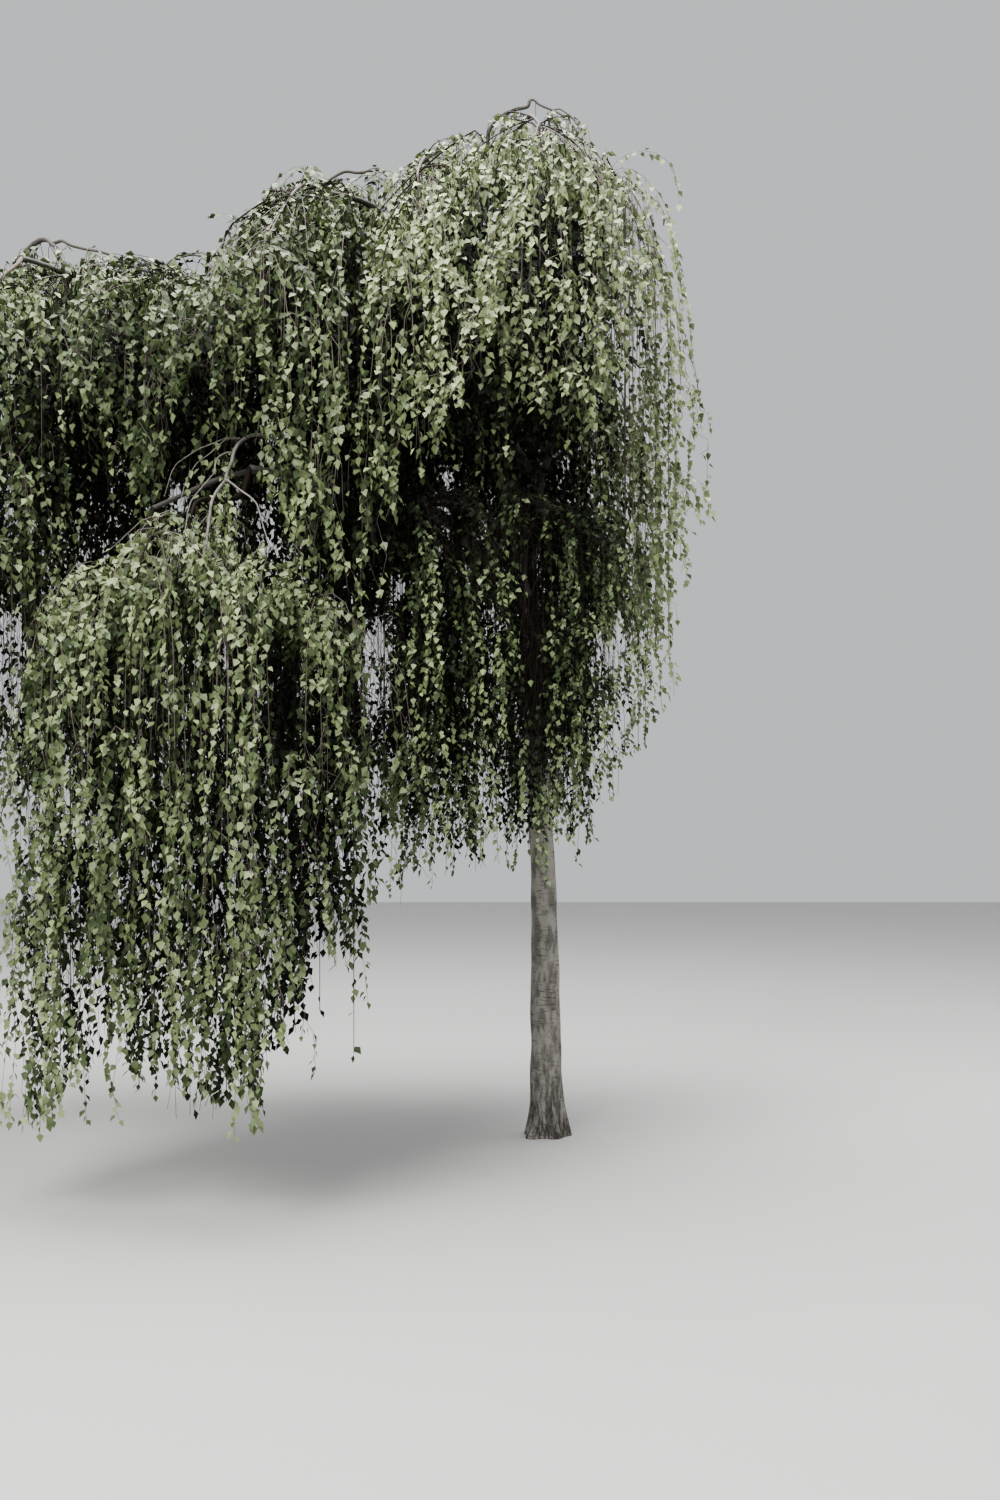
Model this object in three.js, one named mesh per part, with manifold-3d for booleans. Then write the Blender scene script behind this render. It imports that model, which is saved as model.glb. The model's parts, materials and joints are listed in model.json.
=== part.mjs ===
// Weeping birch tree with a mushroom head: one trunk, tapering boughs that arch over, and masses of
// foliage that hang from them round the open space under the crown.
// Millimetres, +Z up, +X to the right as the tree is faced, +Y to its back.
// The origin is the middle of the flat cut under the trunk, at ground level.

import * as THREE from 'three';
import { mergeVertices } from 'three/addons/utils/BufferGeometryUtils.js';
import Module from 'manifold-3d';

const wasm = await Module();
wasm.setup();
const { Manifold, Mesh: SolidMesh } = wasm;

// Driving sizes

// The gap between two pieces that meet, and the size of flaws that are evened out in foliage.
const FIT = 0.3;
const EVENED = 0.02;

// The trunk's height to its fork, how far its top leans along X and between which heights it leans
// over, its radii, and the root flare that is added to its foot.
const TRUNK = {
  height: 3620,
  lean: -92,
  leanStarts: 900,
  leanEnds: 3100,
  foot: 84,
  top: 45,
  flare: 36,
  flareHeight: 170,
  sides: 10,
  steps: 12,
  crowding: 1.7,
};

// The crown is five mounds and two low shelves: the place of each top, how far it reaches to each
// side, how far its surface has sunk at that reach, and how late on the way it sinks.
const MOUNDS = {
  right: {
    x: -60, y: -350, top: 5400, left: 1250, right: 800, front: 1250, back: 1300, sink: 1150, power: 2.2,
  },
  middle: {
    x: -1120, y: -350, top: 5130, left: 980, right: 1150, front: 1250, back: 1250, sink: 1000, power: 1.7,
  },
  left: {
    x: -2800, y: -350, top: 4780, left: 1500, right: 1950, front: 1150, back: 1200, sink: 700, power: 1.6,
  },
  back: {
    x: -450, y: 450, top: 4950, left: 1300, right: 1200, front: 1000, back: 1400, sink: 1250, power: 1.8,
  },
  backLeft: {
    x: -2500, y: 400, top: 4650, left: 1700, right: 1800, front: 900, back: 1350, sink: 900, power: 1.7,
  },
  shelf: {
    x: -300, y: -850, top: 3500, left: 900, right: 700, front: 700, back: 500, sink: 350, power: 1.6,
  },
  lowShelf: {
    x: -1600, y: -1500, top: 3400, left: 900, right: 800, front: 750, back: 600, sink: 450, power: 1.6,
  },
};

// Each mass of foliage: its mound, the middle of its own space in plan, how far its hanging twigs
// spread from that middle, the height its lowest tips reach, and how many hanging twigs it has.
const MASSES = {
  right_crown: { mound: 'right', x: -40, y: -450, spread: 360, foot: 4150, twigs: 7 },
  right_front: { mound: 'right', x: -60, y: -1080, spread: 440, foot: 3560, twigs: 5 },
  right_front_inner: { mound: 'right', x: -640, y: -1050, spread: 380, foot: 3560, twigs: 5 },
  right_side: { mound: 'right', x: 400, y: -400, spread: 320, foot: 2300, twigs: 5 },
  right_back_side: { mound: 'back', x: 310, y: 500, spread: 350, foot: 1900, twigs: 5 },
  right_back: { mound: 'back', x: -120, y: 1200, spread: 480, foot: 1350, twigs: 5 },
  back_crown: { mound: 'back', x: -480, y: 380, spread: 400, foot: 4000, twigs: 7 },
  middle_crown: { mound: 'middle', x: -1290, y: -200, spread: 420, foot: 3950, twigs: 7 },
  middle_front: { mound: 'middle', x: -1250, y: -1060, spread: 400, foot: 3520, twigs: 6 },
  middle_left: { mound: 'left', x: -1880, y: -880, spread: 420, foot: 3540, twigs: 5 },
  middle_back: { mound: 'back', x: -1200, y: 1080, spread: 520, foot: 1250, twigs: 5 },
  left_crown: { mound: 'left', x: -2320, y: -420, spread: 470, foot: 3900, twigs: 7 },
  left_front: { mound: 'left', x: -2680, y: -1020, spread: 440, foot: 1700, twigs: 5 },
  far_left_front: { mound: 'left', x: -3430, y: -760, spread: 440, foot: 1350, twigs: 5 },
  far_left: { mound: 'left', x: -3760, y: 30, spread: 440, foot: 1150, twigs: 5 },
  left_back: { mound: 'backLeft', x: -3120, y: 760, spread: 520, foot: 1200, twigs: 5 },
  back_left: { mound: 'backLeft', x: -2150, y: 950, spread: 520, foot: 1200, twigs: 5 },
  low_right: { mound: 'shelf', x: 0, y: -820, spread: 400, foot: 1650, twigs: 4 },
  low_middle: { mound: 'shelf', x: -640, y: -950, spread: 360, foot: 1550, twigs: 4 },
  low_front_right: { mound: 'lowShelf', x: -1180, y: -1480, spread: 380, foot: 400, twigs: 5 },
  low_front: { mound: 'lowShelf', x: -1640, y: -1650, spread: 360, foot: 280, twigs: 5 },
  low_front_left: { mound: 'lowShelf', x: -2070, y: -1380, spread: 330, foot: 300, twigs: 5 },
};

// Each bough: the limb it grows from and how far along it, how high it arches above a straight line
// and how far it bows to the left of one, and its radii at both ends. It ends where it enters the
// mass that it carries, or at its tip where that is stated.
const BOUGHS = {
  leader: {
    from: 'trunk', at: 1, tip: [-130, -420, 5330], arch: 60, bow: -330, foot: 38, end: 15,
    mass: 'right_crown',
  },
  right_front: { from: 'leader', at: 0.58, arch: 160, bow: -60, foot: 20, end: 11 },
  right_front_inner: { from: 'leader', at: 0.4, arch: 260, bow: 60, foot: 20, end: 11 },
  right_side: { from: 'leader', at: 0.3, arch: 200, bow: -160, foot: 22, end: 11 },
  right_back_side: { from: 'trunk', at: 0.94, arch: 330, bow: -90, foot: 25, end: 12 },
  right_back: { from: 'trunk', at: 0.9, arch: 460, bow: 60, foot: 26, end: 12 },
  back_crown: { from: 'right_back', at: 0.35, arch: 120, bow: 90, foot: 18, end: 10 },
  middle: {
    from: 'trunk', at: 0.95, tip: [-1090, -430, 5040], arch: 420, bow: -160, foot: 32, end: 13,
    mass: 'middle_crown',
  },
  middle_front: { from: 'middle', at: 0.6, arch: 110, bow: 60, foot: 19, end: 11 },
  middle_left: { from: 'middle', at: 0.72, arch: 150, bow: -80, foot: 19, end: 11 },
  back: {
    from: 'trunk', at: 0.8, tip: [-1350, 560, 4330], arch: 330, bow: -60, foot: 30, end: 19,
    mass: 'back_left',
  },
  middle_back: { from: 'back', at: 0.6, arch: 160, bow: -60, foot: 19, end: 11 },
  left: { from: 'trunk', at: 0.87, tip: [-3060, -180, 4380], arch: 420, bow: -120, foot: 36, end: 21 },
  left_arch: {
    from: 'left', at: 0.98, tip: [-2560, -420, 4700], arch: 300, bow: 120, foot: 18, end: 9,
    mass: 'left_crown',
  },
  left_front: { from: 'left', at: 0.8, arch: 160, bow: 60, foot: 19, end: 11 },
  far_left_front: { from: 'left', at: 0.9, arch: 140, bow: 60, foot: 18, end: 11 },
  far_left: { from: 'left', at: 1, arch: 60, bow: 20, foot: 19, end: 11 },
  left_back: { from: 'left', at: 0.84, arch: 150, bow: -60, foot: 18, end: 11 },
  low_right: { from: 'trunk', at: 0.91, arch: 90, bow: 40, foot: 20, end: 11 },
  low_middle: { from: 'trunk', at: 0.88, arch: 140, bow: 60, foot: 21, end: 11 },
  low: {
    from: 'trunk', at: 0.83, tip: [-1420, -1180, 3360], arch: 260, bow: 60, foot: 27, end: 15,
    mass: 'low_front',
  },
  low_front_right: { from: 'low', at: 0.7, arch: 60, bow: 40, foot: 15, end: 10 },
  low_front_left: { from: 'low', at: 0.85, arch: 90, bow: -60, foot: 15, end: 10 },
};
const LIMB = { sides: 6, steps: 7, crest: 0.8 };

// A bough enters its mass this share of the way short of the mass's middle, under its surface.
const ENTRY = { inset: 0.26, below: 130 };

// The stem of a mass and its hanging twigs: how far each leads out before it bends, how far above
// the mound its bend is aimed, how far below the mound the bend ends, and its end radius. Twigs
// leave the stem between two shares of its bend.
const STEM = {
  end: 4, sides: 4, bendSteps: 4, dropSteps: 1, lead: 160, over: 300, bend: 420,
  branchFrom: 0.35, branchTo: 0.85,
};
const TWIG = { foot: 6, end: 3.2, sides: 3, bendSteps: 3, dropSteps: 1, lead: 95, over: 300, bend: 380 };
const RAGGED = 0.14;

// Sprays of leaves: their size, how far apart they leave a twig, how steeply they hang, how far they
// swing to the left and right of the twig's outward side, and how far they stay from one another.
const SPRAY = {
  length: 620, width: 260, thickness: 16, shoulder: 0.4,
  spacing: 610, droop: 1.9, swing: 1.05, stray: 0.7, roll: 0.5, endLean: 0.1, seat: 2, apart: 105,
};

// How far foliage stays from the edges of its space, from limbs and above its mound.
const CLEAR = { space: 12, limb: 26, ceiling: 40, step: 25 };
const SEED = 11;

// Helpers

const UP = new THREE.Vector3(0, 0, 1);
const GOLDEN_ANGLE = Math.PI * (3 - Math.sqrt(5));
const WELD_DISTANCE = 1e-3;

// A number from 0 to 1 that is always the same for the same three whole numbers.
function chance(a, b, c = 0) {
  const s = Math.sin(a * 12.9898 + b * 78.233 + c * 37.719 + SEED) * 43758.5453;
  return s - Math.floor(s);
}

function smooth(t) {
  const u = THREE.MathUtils.clamp(t, 0, 1);
  return u * u * (3 - 2 * u);
}

function moundTop(mound, x, y) {
  const across = (x - mound.x) / (x < mound.x ? mound.left : mound.right);
  const deep = (y - mound.y) / (y < mound.y ? mound.front : mound.back);
  return mound.top - mound.sink * Math.hypot(across, deep) ** mound.power;
}

function endDirection(points) {
  const last = points.length - 1;
  return points[last].clone().sub(points[last - 1]).normalize();
}

function pointAlong(points, share) {
  const whole = share * (points.length - 1);
  const i = Math.min(Math.floor(whole), points.length - 2);
  return points[i].clone().lerp(points[i + 1], whole - i);
}

function bare(geometry) {
  geometry.deleteAttribute('normal');
  geometry.deleteAttribute('uv');
  return mergeVertices(geometry, WELD_DISTANCE);
}

// Moves each corner of a geometry to where a function of its old place puts it.
function reshaped(geometry, move) {
  const position = geometry.attributes.position;
  const old = new THREE.Vector3();
  for (let v = 0; v < position.count; v++) {
    const place = move(old.fromBufferAttribute(position, v));
    position.setXYZ(v, place.x, place.y, place.z);
  }
  return bare(geometry);
}

// A closed tube: a cylinder of unit size whose rings are carried along the points.
function tube({ points, radii, sides, startDirection }) {
  const steps = points.length - 1;
  const tangents = points.map((_, i) => {
    const ahead = points[Math.min(i + 1, steps)];
    const behind = points[Math.max(i - 1, 0)];
    return ahead.clone().sub(behind).normalize();
  });
  if (startDirection) tangents[0] = startDirection;
  const normals = [];
  tangents.forEach((tangent, i) => {
    const level = Math.abs(tangent.z) < 0.9 ? UP : new THREE.Vector3(1, 0, 0);
    const from = i === 0 ? level : normals[i - 1];
    normals.push(from.clone().addScaledVector(tangent, -from.dot(tangent)).normalize());
  });
  const sideways = tangents.map((tangent, i) => normals[i].clone().cross(tangent));
  return reshaped(new THREE.CylinderGeometry(1, 1, 1, sides, steps), (old) => {
    const i = Math.round((old.y + 0.5) * steps);
    const place = points[i].clone().addScaledVector(normals[i], old.x * radii[i]);
    return place.addScaledVector(sideways[i], old.z * radii[i]);
  });
}

// A blade with a straight midrib, widest at its shoulder: an octahedron with its corners moved.
function blade(root, direction, roll) {
  const across = direction.clone().cross(UP).normalize().applyAxisAngle(direction, roll);
  const facing = across.clone().cross(direction);
  return reshaped(new THREE.OctahedronGeometry(1, 0), (old) => {
    const atShoulder = Math.abs(old.y) < 0.5;
    const reach = atShoulder ? SPRAY.shoulder : Math.max(old.y, 0);
    const place = root.clone().addScaledVector(direction, reach * SPRAY.length);
    place.addScaledVector(across, old.x * SPRAY.width / 2);
    return place.addScaledVector(facing, old.z * SPRAY.thickness / 2);
  });
}

function cornersOf(geometry) {
  const { array } = geometry.attributes.position;
  return Array.from({ length: array.length / 3 }, (_, v) => new THREE.Vector3().fromArray(array, 3 * v));
}

function toSolid(geometry) {
  return new Manifold(new SolidMesh({
    numProp: 3,
    vertProperties: new Float32Array(geometry.attributes.position.array),
    triVerts: new Uint32Array(geometry.index.array),
  }));
}

function toGeometry(solid) {
  const mesh = solid.getMesh();
  const geometry = new THREE.BufferGeometry();
  geometry.setAttribute('position', new THREE.BufferAttribute(mesh.vertProperties, 3));
  geometry.setIndex(new THREE.BufferAttribute(mesh.triVerts, 1));
  geometry.computeVertexNormals();
  return geometry;
}

// The largest body of a solid. Loose scraps go, and so do sealed hollows, which are filled.
function mainBody(solid) {
  return solid.decompose().reduce((a, b) => (b.volume() > a.volume() ? b : a));
}

// Trunk and boughs

function trunkPoint(t) {
  const z = t * TRUNK.height;
  const leaning = smooth((z - TRUNK.leanStarts) / (TRUNK.leanEnds - TRUNK.leanStarts));
  return new THREE.Vector3(TRUNK.lean * leaning, 0, z);
}

function trunkRadius(t) {
  const taper = THREE.MathUtils.lerp(TRUNK.foot, TRUNK.top, t);
  return taper + TRUNK.flare * Math.exp(-t * TRUNK.height / TRUNK.flareHeight);
}

// The trunk's rings lie closer together in the root flare.
function makeTrunk() {
  const shares = Array.from({ length: TRUNK.steps + 1 }, (_, i) => (i / TRUNK.steps) ** TRUNK.crowding);
  const points = shares.map(trunkPoint);
  const trunk = { points, radii: shares.map(trunkRadius), sides: TRUNK.sides, startDirection: UP };
  return { ...trunk, solid: toSolid(tube(trunk)) };
}

function massCarriedBy(name) {
  return BOUGHS[name].mass ?? (name in MASSES ? name : null);
}

function boughTip(name, start) {
  if (BOUGHS[name].tip) return new THREE.Vector3(...BOUGHS[name].tip);
  const mass = MASSES[massCarriedBy(name)];
  const x = THREE.MathUtils.lerp(mass.x, start.x, ENTRY.inset);
  const y = THREE.MathUtils.lerp(mass.y, start.y, ENTRY.inset);
  return new THREE.Vector3(x, y, moundTop(MOUNDS[mass.mound], x, y) - ENTRY.below);
}

// A straight line to the tip, raised by a half wave that crests early and bowed by another.
function boughPoint(bough, start, tip, t) {
  const across = UP.clone().cross(tip.clone().sub(start)).normalize();
  const point = start.clone().lerp(tip, t);
  point.z += bough.arch * Math.sin(Math.PI * t ** LIMB.crest);
  return point.addScaledVector(across, bough.bow * Math.sin(Math.PI * t));
}

// A bough starts on its parent's middle line and is cut back to the parent's surface. One that
// starts at a tip carries on from it instead.
function makeBough(name, limbs) {
  const bough = BOUGHS[name];
  const parent = limbs[bough.from];
  const carriesOn = bough.at === 1;
  const startDirection = carriesOn ? endDirection(parent.points) : null;
  const start = pointAlong(parent.points, bough.at);
  if (carriesOn) start.addScaledVector(startDirection, FIT);
  const tip = boughTip(name, start);
  const shares = Array.from({ length: LIMB.steps + 1 }, (_, i) => i / LIMB.steps);
  const points = shares.map((t) => boughPoint(bough, start, tip, t));
  const radii = shares.map((t) => THREE.MathUtils.lerp(bough.foot, bough.end, t));
  const limb = { points, radii, sides: LIMB.sides, startDirection };
  if (carriesOn) return { ...limb, solid: toSolid(tube(limb)) };
  const seat = toSolid(tube({ ...parent, radii: parent.radii.map((r) => r + FIT) }));
  return { ...limb, solid: mainBody(toSolid(tube(limb)).subtract(seat)) };
}

function makeLimbs() {
  const limbs = { trunk: makeTrunk() };
  for (const name of Object.keys(BOUGHS)) limbs[name] = makeBough(name, limbs);
  return limbs;
}

// Foliage

function ceilingOf(mass) {
  return MOUNDS[mass.mound].top + CLEAR.ceiling;
}

// Whether a piece with these corners lies in the mass's own space. It has to be nearer to the
// middle of that mass in plan than to that of any other mass at its height.
function inSpace(name, corners) {
  const mass = MASSES[name];
  const low = Math.min(...corners.map((c) => c.z));
  const high = Math.max(...corners.map((c) => c.z));
  if (low < mass.foot || high > ceilingOf(mass)) return false;
  return Object.entries(MASSES).every(([otherName, other]) => {
    if (otherName === name) return true;
    if (high < other.foot - CLEAR.space || low > ceilingOf(other) + CLEAR.space) return true;
    return corners.every((c) => {
      const own = Math.hypot(c.x - mass.x, c.y - mass.y);
      return own + CLEAR.space < Math.hypot(c.x - other.x, c.y - other.y);
    });
  });
}

// How near the straight line between two points comes to the surfaces of some tubes.
function clearance(from, to, tubes) {
  const segment = new THREE.Line3();
  const nearest = new THREE.Vector3();
  const count = Math.max(1, Math.ceil(from.distanceTo(to) / CLEAR.step));
  let least = Infinity;
  for (let s = 0; s <= count; s++) {
    const point = from.clone().lerp(to, s / count);
    for (const { points, radii } of tubes) {
      for (let i = 0; i + 1 < points.length; i++) {
        segment.set(points[i], points[i + 1]).closestPointToPoint(point, true, nearest);
        least = Math.min(least, nearest.distanceTo(point) - radii[i]);
      }
    }
  }
  return least;
}

// A twig that leaves along a direction, arches over its hanging place and drops straight down.
// It follows the surface of the mound where it would rise above it.
function weepingPoints(start, direction, hang, mound, foot, habit) {
  const top = moundTop(mound, hang.x, hang.y);
  const lead = start.clone().addScaledVector(direction, habit.lead);
  const crest = new THREE.Vector3(hang.x, hang.y, top + habit.over);
  const bendEnd = new THREE.Vector3(hang.x, hang.y, Math.max(top - habit.bend, (top + foot) / 2));
  const points = new THREE.CubicBezierCurve3(start, lead, crest, bendEnd).getPoints(habit.bendSteps);
  for (const point of points.slice(1)) point.z = Math.min(point.z, moundTop(mound, point.x, point.y));
  for (let i = 1; i <= habit.dropSteps; i++) {
    const z = THREE.MathUtils.lerp(bendEnd.z, foot, i / habit.dropSteps);
    points.push(new THREE.Vector3(hang.x, hang.y, z));
  }
  return points;
}

function tapered(points, foot, end) {
  return points.map((_, i) => THREE.MathUtils.lerp(foot, end, i / (points.length - 1)));
}

// The hanging places of a mass: a sunflower's spiral round its middle.
function hangingPlaces(mass, number) {
  return Array.from({ length: mass.twigs }, (_, i) => {
    const turn = i * GOLDEN_ANGLE + chance(number, 1) * 2 * Math.PI;
    const out = mass.spread * Math.sqrt((i + 0.5) / mass.twigs);
    return new THREE.Vector2(mass.x + out * Math.cos(turn), mass.y + out * Math.sin(turn));
  });
}

// The part of a twig that keeps to the mass's space and clear of the limbs.
function trimmed(name, points, limbs) {
  const kept = [points[0]];
  for (let i = 1; i < points.length; i++) {
    const pair = [points[i - 1], points[i]];
    if (!inSpace(name, pair) || clearance(...pair, limbs) < CLEAR.limb) break;
    kept.push(points[i]);
  }
  return kept;
}

// The stem of a mass, which carries its bough on, and the twigs that hang from the stem's bend.
function massTwigs(name, number, limbs) {
  const mass = MASSES[name];
  const mound = MOUNDS[mass.mound];
  const carrier = Object.keys(BOUGHS).find((key) => massCarriedBy(key) === name);
  const startDirection = endDirection(limbs[carrier].points);
  const start = pointAlong(limbs[carrier].points, 1).addScaledVector(startDirection, FIT);
  const lowest = mass.foot + SPRAY.length;
  const stem = weepingPoints(start, startDirection, mass, mound, lowest, STEM);
  const radii = tapered(stem, BOUGHS[carrier].end, STEM.end);
  const twigs = [{ points: stem, radii, sides: STEM.sides, startDirection }];
  hangingPlaces(mass, number).forEach((hang, i) => {
    const key = 100 * number + i;
    const share = THREE.MathUtils.lerp(STEM.branchFrom, STEM.branchTo, chance(key, 2));
    const from = pointAlong(stem, share * STEM.bendSteps / (stem.length - 1));
    const foot = lowest + RAGGED * chance(key, 3) * (moundTop(mound, hang.x, hang.y) - lowest);
    const out = new THREE.Vector3(hang.x - from.x, hang.y - from.y, 0).normalize().add(UP).normalize();
    const points = trimmed(name, weepingPoints(from, out, hang, mound, foot, TWIG), Object.values(limbs));
    if (points.length < 3) return;
    twigs.push({ points, radii: tapered(points, TWIG.foot, TWIG.end), sides: TWIG.sides });
  });
  return twigs;
}

function pointAtLength(points, lengths, length) {
  let left = length;
  for (let i = 0; i < lengths.length; i++) {
    if (left <= lengths[i]) return points[i].clone().lerp(points[i + 1], left / lengths[i]);
    left -= lengths[i];
  }
  return points[points.length - 1].clone();
}

// Sprays along a twig, to the left and right of its outward side by turns, and one hanging from its
// end. One that would leave the space, or touch a limb, a twig or a spray, is turned to another side
// or else skipped.
function makeSprays(name, twig, obstacles, limbs, key) {
  const { points } = twig;
  const lengths = points.slice(1).map((p, i) => p.distanceTo(points[i]));
  const total = lengths.reduce((a, b) => a + b, 0);
  const count = Math.max(1, Math.round(total / SPRAY.spacing));
  const end = points[points.length - 1];
  const outward = Math.atan2(end.y, end.x);
  const made = [];
  for (let i = 1; i <= count; i++) {
    const root = pointAtLength(points, lengths, total * (i - 0.5) / (count - 0.5) - SPRAY.seat);
    const out = i < count ? 1 : SPRAY.endLean;
    const side = i % 2 ? 1 : -1;
    for (const swing of [side, -side, 2 * side, -2 * side]) {
      const turn = outward + SPRAY.swing * swing + SPRAY.stray * (chance(key, i) - 0.5);
      const direction = new THREE.Vector3(out * Math.cos(turn), out * Math.sin(turn), -SPRAY.droop);
      const geometry = blade(root, direction.normalize(), SPRAY.roll * (chance(key, i, 7) - 0.5));
      const shoulder = root.clone().addScaledVector(direction, SPRAY.shoulder * SPRAY.length);
      const tip = root.clone().addScaledVector(direction, SPRAY.length);
      const corners = cornersOf(geometry);
      if (!inSpace(name, corners) || clearance(shoulder, tip, obstacles) < SPRAY.apart) continue;
      const lines = corners.flatMap((corner) => [root, shoulder, tip].map((to) => [corner, to]));
      if (lines.some((line) => clearance(...line, limbs) < CLEAR.limb)) continue;
      const midrib = { points: [shoulder, tip], radii: [0, 0] };
      obstacles.push(midrib);
      made.push({ geometry, midrib });
      break;
    }
  }
  return made;
}

function makeMass(name, number, limbs) {
  const twigs = massTwigs(name, number, limbs);
  const sprays = [];
  twigs.forEach((twig, i) => {
    const obstacles = twigs.filter((other) => other !== twig).concat(sprays.map((one) => one.midrib));
    sprays.push(...makeSprays(name, twig, obstacles, Object.values(limbs), 100 * number + i));
  });
  const pieces = [...twigs.map(tube), ...sprays.map((one) => one.geometry)];
  return mainBody(Manifold.union(pieces.map(toSolid))).simplify(EVENED);
}

// Scene

const BARK = { color: 0x8d8a84, roughness: 0.85, metalness: 0 };
const LEAVES = { color: 0x5f7350, roughness: 0.7, metalness: 0 };

function named(name, solid, finish) {
  const mesh = new THREE.Mesh(toGeometry(solid), new THREE.MeshStandardMaterial(finish));
  mesh.name = name;
  return mesh;
}

const tree = new THREE.Group();
const limbs = makeLimbs();
for (const [name, limb] of Object.entries(limbs)) {
  tree.add(named(name === 'trunk' ? name : `bough_${name}`, limb.solid, BARK));
}
Object.keys(MASSES).forEach((name, i) => {
  tree.add(named(`foliage_${name}`, makeMass(name, i + 1, limbs), LEAVES));
});

export default tree;
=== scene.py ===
"""Weeping birch tree with a mushroom head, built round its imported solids.

Metres, +Z up, +X to the right as the tree is faced, +Y to its back. The origin is the middle of the
flat cut under the trunk. The trunk, the boughs and the masses of foliage follow the same named sizes
and the same seeded rule as the solids, and are carried on to finer twigs and to single leaves.
"""

import json
import math
from typing import NamedTuple

import bpy
import numpy as np
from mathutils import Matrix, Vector

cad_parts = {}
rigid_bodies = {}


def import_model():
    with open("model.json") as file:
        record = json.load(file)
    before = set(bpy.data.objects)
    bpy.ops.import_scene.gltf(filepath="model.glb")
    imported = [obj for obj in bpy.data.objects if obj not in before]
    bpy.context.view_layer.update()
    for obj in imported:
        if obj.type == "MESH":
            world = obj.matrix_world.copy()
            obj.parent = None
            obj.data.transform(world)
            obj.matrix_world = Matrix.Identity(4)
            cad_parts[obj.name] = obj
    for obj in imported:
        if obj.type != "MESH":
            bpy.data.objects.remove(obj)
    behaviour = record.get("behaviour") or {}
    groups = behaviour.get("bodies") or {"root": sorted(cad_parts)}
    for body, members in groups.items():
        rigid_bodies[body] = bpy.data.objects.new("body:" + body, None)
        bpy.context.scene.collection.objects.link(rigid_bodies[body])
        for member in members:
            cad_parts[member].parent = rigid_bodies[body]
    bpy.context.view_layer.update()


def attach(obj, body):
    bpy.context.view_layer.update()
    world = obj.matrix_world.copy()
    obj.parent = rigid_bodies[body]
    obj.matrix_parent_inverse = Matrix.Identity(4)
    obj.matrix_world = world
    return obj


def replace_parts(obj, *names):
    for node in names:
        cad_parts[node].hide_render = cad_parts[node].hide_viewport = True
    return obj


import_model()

bl_info = {
    "name": "Weeping birch",
    "version": (1, 0, 0),
    "blender": (4, 5, 0),
    "location": "View3D > Sidebar > Birch",
    "description": "Builds a weeping birch tree round its packed solids",
    "category": "Add Mesh",
}


# Sizes shared with the solids

class Mound(NamedTuple):
    """One rounded top of the crown: its place, its reach to each side, and how it sinks there."""

    x: float
    y: float
    top: float
    left: float
    right: float
    front: float
    back: float
    sink: float
    power: float


class Mass(NamedTuple):
    """One mass of foliage: its mound, its middle in plan, its spread, its lowest height, its arms."""

    mound: str
    x: float
    y: float
    spread: float
    foot: float
    arms: int


class Bough(NamedTuple):
    """One bough: its parent, the share along it, its tip, its arch and bow, its radii, its mass."""

    parent: str
    at: float
    tip: tuple
    arch: float
    bow: float
    foot: float
    end: float
    mass: str = ""


TRUNK = dict(
    height=3.62, lean=-0.092, lean_starts=0.9, lean_ends=3.1, foot=0.084, top=0.045,
    flare=0.036, flare_height=0.17, crowding=1.7,
)

MOUNDS = {
    "right": Mound(-0.06, -0.35, 5.4, 1.25, 0.8, 1.25, 1.3, 1.15, 2.2),
    "middle": Mound(-1.12, -0.35, 5.13, 0.98, 1.15, 1.25, 1.25, 1, 1.7),
    "left": Mound(-2.8, -0.35, 4.78, 1.5, 1.95, 1.15, 1.2, 0.7, 1.6),
    "back": Mound(-0.45, 0.45, 4.95, 1.3, 1.2, 1, 1.4, 1.25, 1.8),
    "back_left": Mound(-2.5, 0.4, 4.65, 1.7, 1.8, 0.9, 1.35, 0.9, 1.7),
    "shelf": Mound(-0.3, -0.85, 3.5, 0.9, 0.7, 0.7, 0.5, 0.35, 1.6),
    "low_shelf": Mound(-1.6, -1.5, 3.4, 0.9, 0.8, 0.75, 0.6, 0.45, 1.6),
}

MASSES = {
    "right_crown": Mass("right", -0.04, -0.45, 0.36, 4.15, 7),
    "right_front": Mass("right", -0.06, -1.08, 0.44, 3.56, 5),
    "right_front_inner": Mass("right", -0.64, -1.05, 0.38, 3.56, 5),
    "right_side": Mass("right", 0.4, -0.4, 0.32, 2.3, 5),
    "right_back_side": Mass("back", 0.31, 0.5, 0.35, 1.9, 5),
    "right_back": Mass("back", -0.12, 1.2, 0.48, 1.35, 5),
    "back_crown": Mass("back", -0.48, 0.38, 0.4, 4, 7),
    "middle_crown": Mass("middle", -1.29, -0.2, 0.42, 3.95, 7),
    "middle_front": Mass("middle", -1.25, -1.06, 0.4, 3.52, 6),
    "middle_left": Mass("left", -1.88, -0.88, 0.42, 3.54, 5),
    "middle_back": Mass("back", -1.2, 1.08, 0.52, 1.25, 5),
    "left_crown": Mass("left", -2.32, -0.42, 0.47, 3.9, 7),
    "left_front": Mass("left", -2.68, -1.02, 0.44, 1.7, 5),
    "far_left_front": Mass("left", -3.43, -0.76, 0.44, 1.35, 5),
    "far_left": Mass("left", -3.76, 0.03, 0.44, 1.15, 5),
    "left_back": Mass("back_left", -3.12, 0.76, 0.52, 1.2, 5),
    "back_left": Mass("back_left", -2.15, 0.95, 0.52, 1.2, 5),
    "low_right": Mass("shelf", 0, -0.82, 0.4, 1.65, 4),
    "low_middle": Mass("shelf", -0.64, -0.95, 0.36, 1.55, 4),
    "low_front_right": Mass("low_shelf", -1.18, -1.48, 0.38, 0.4, 5),
    "low_front": Mass("low_shelf", -1.64, -1.65, 0.36, 0.28, 5),
    "low_front_left": Mass("low_shelf", -2.07, -1.38, 0.33, 0.3, 5),
}

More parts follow.
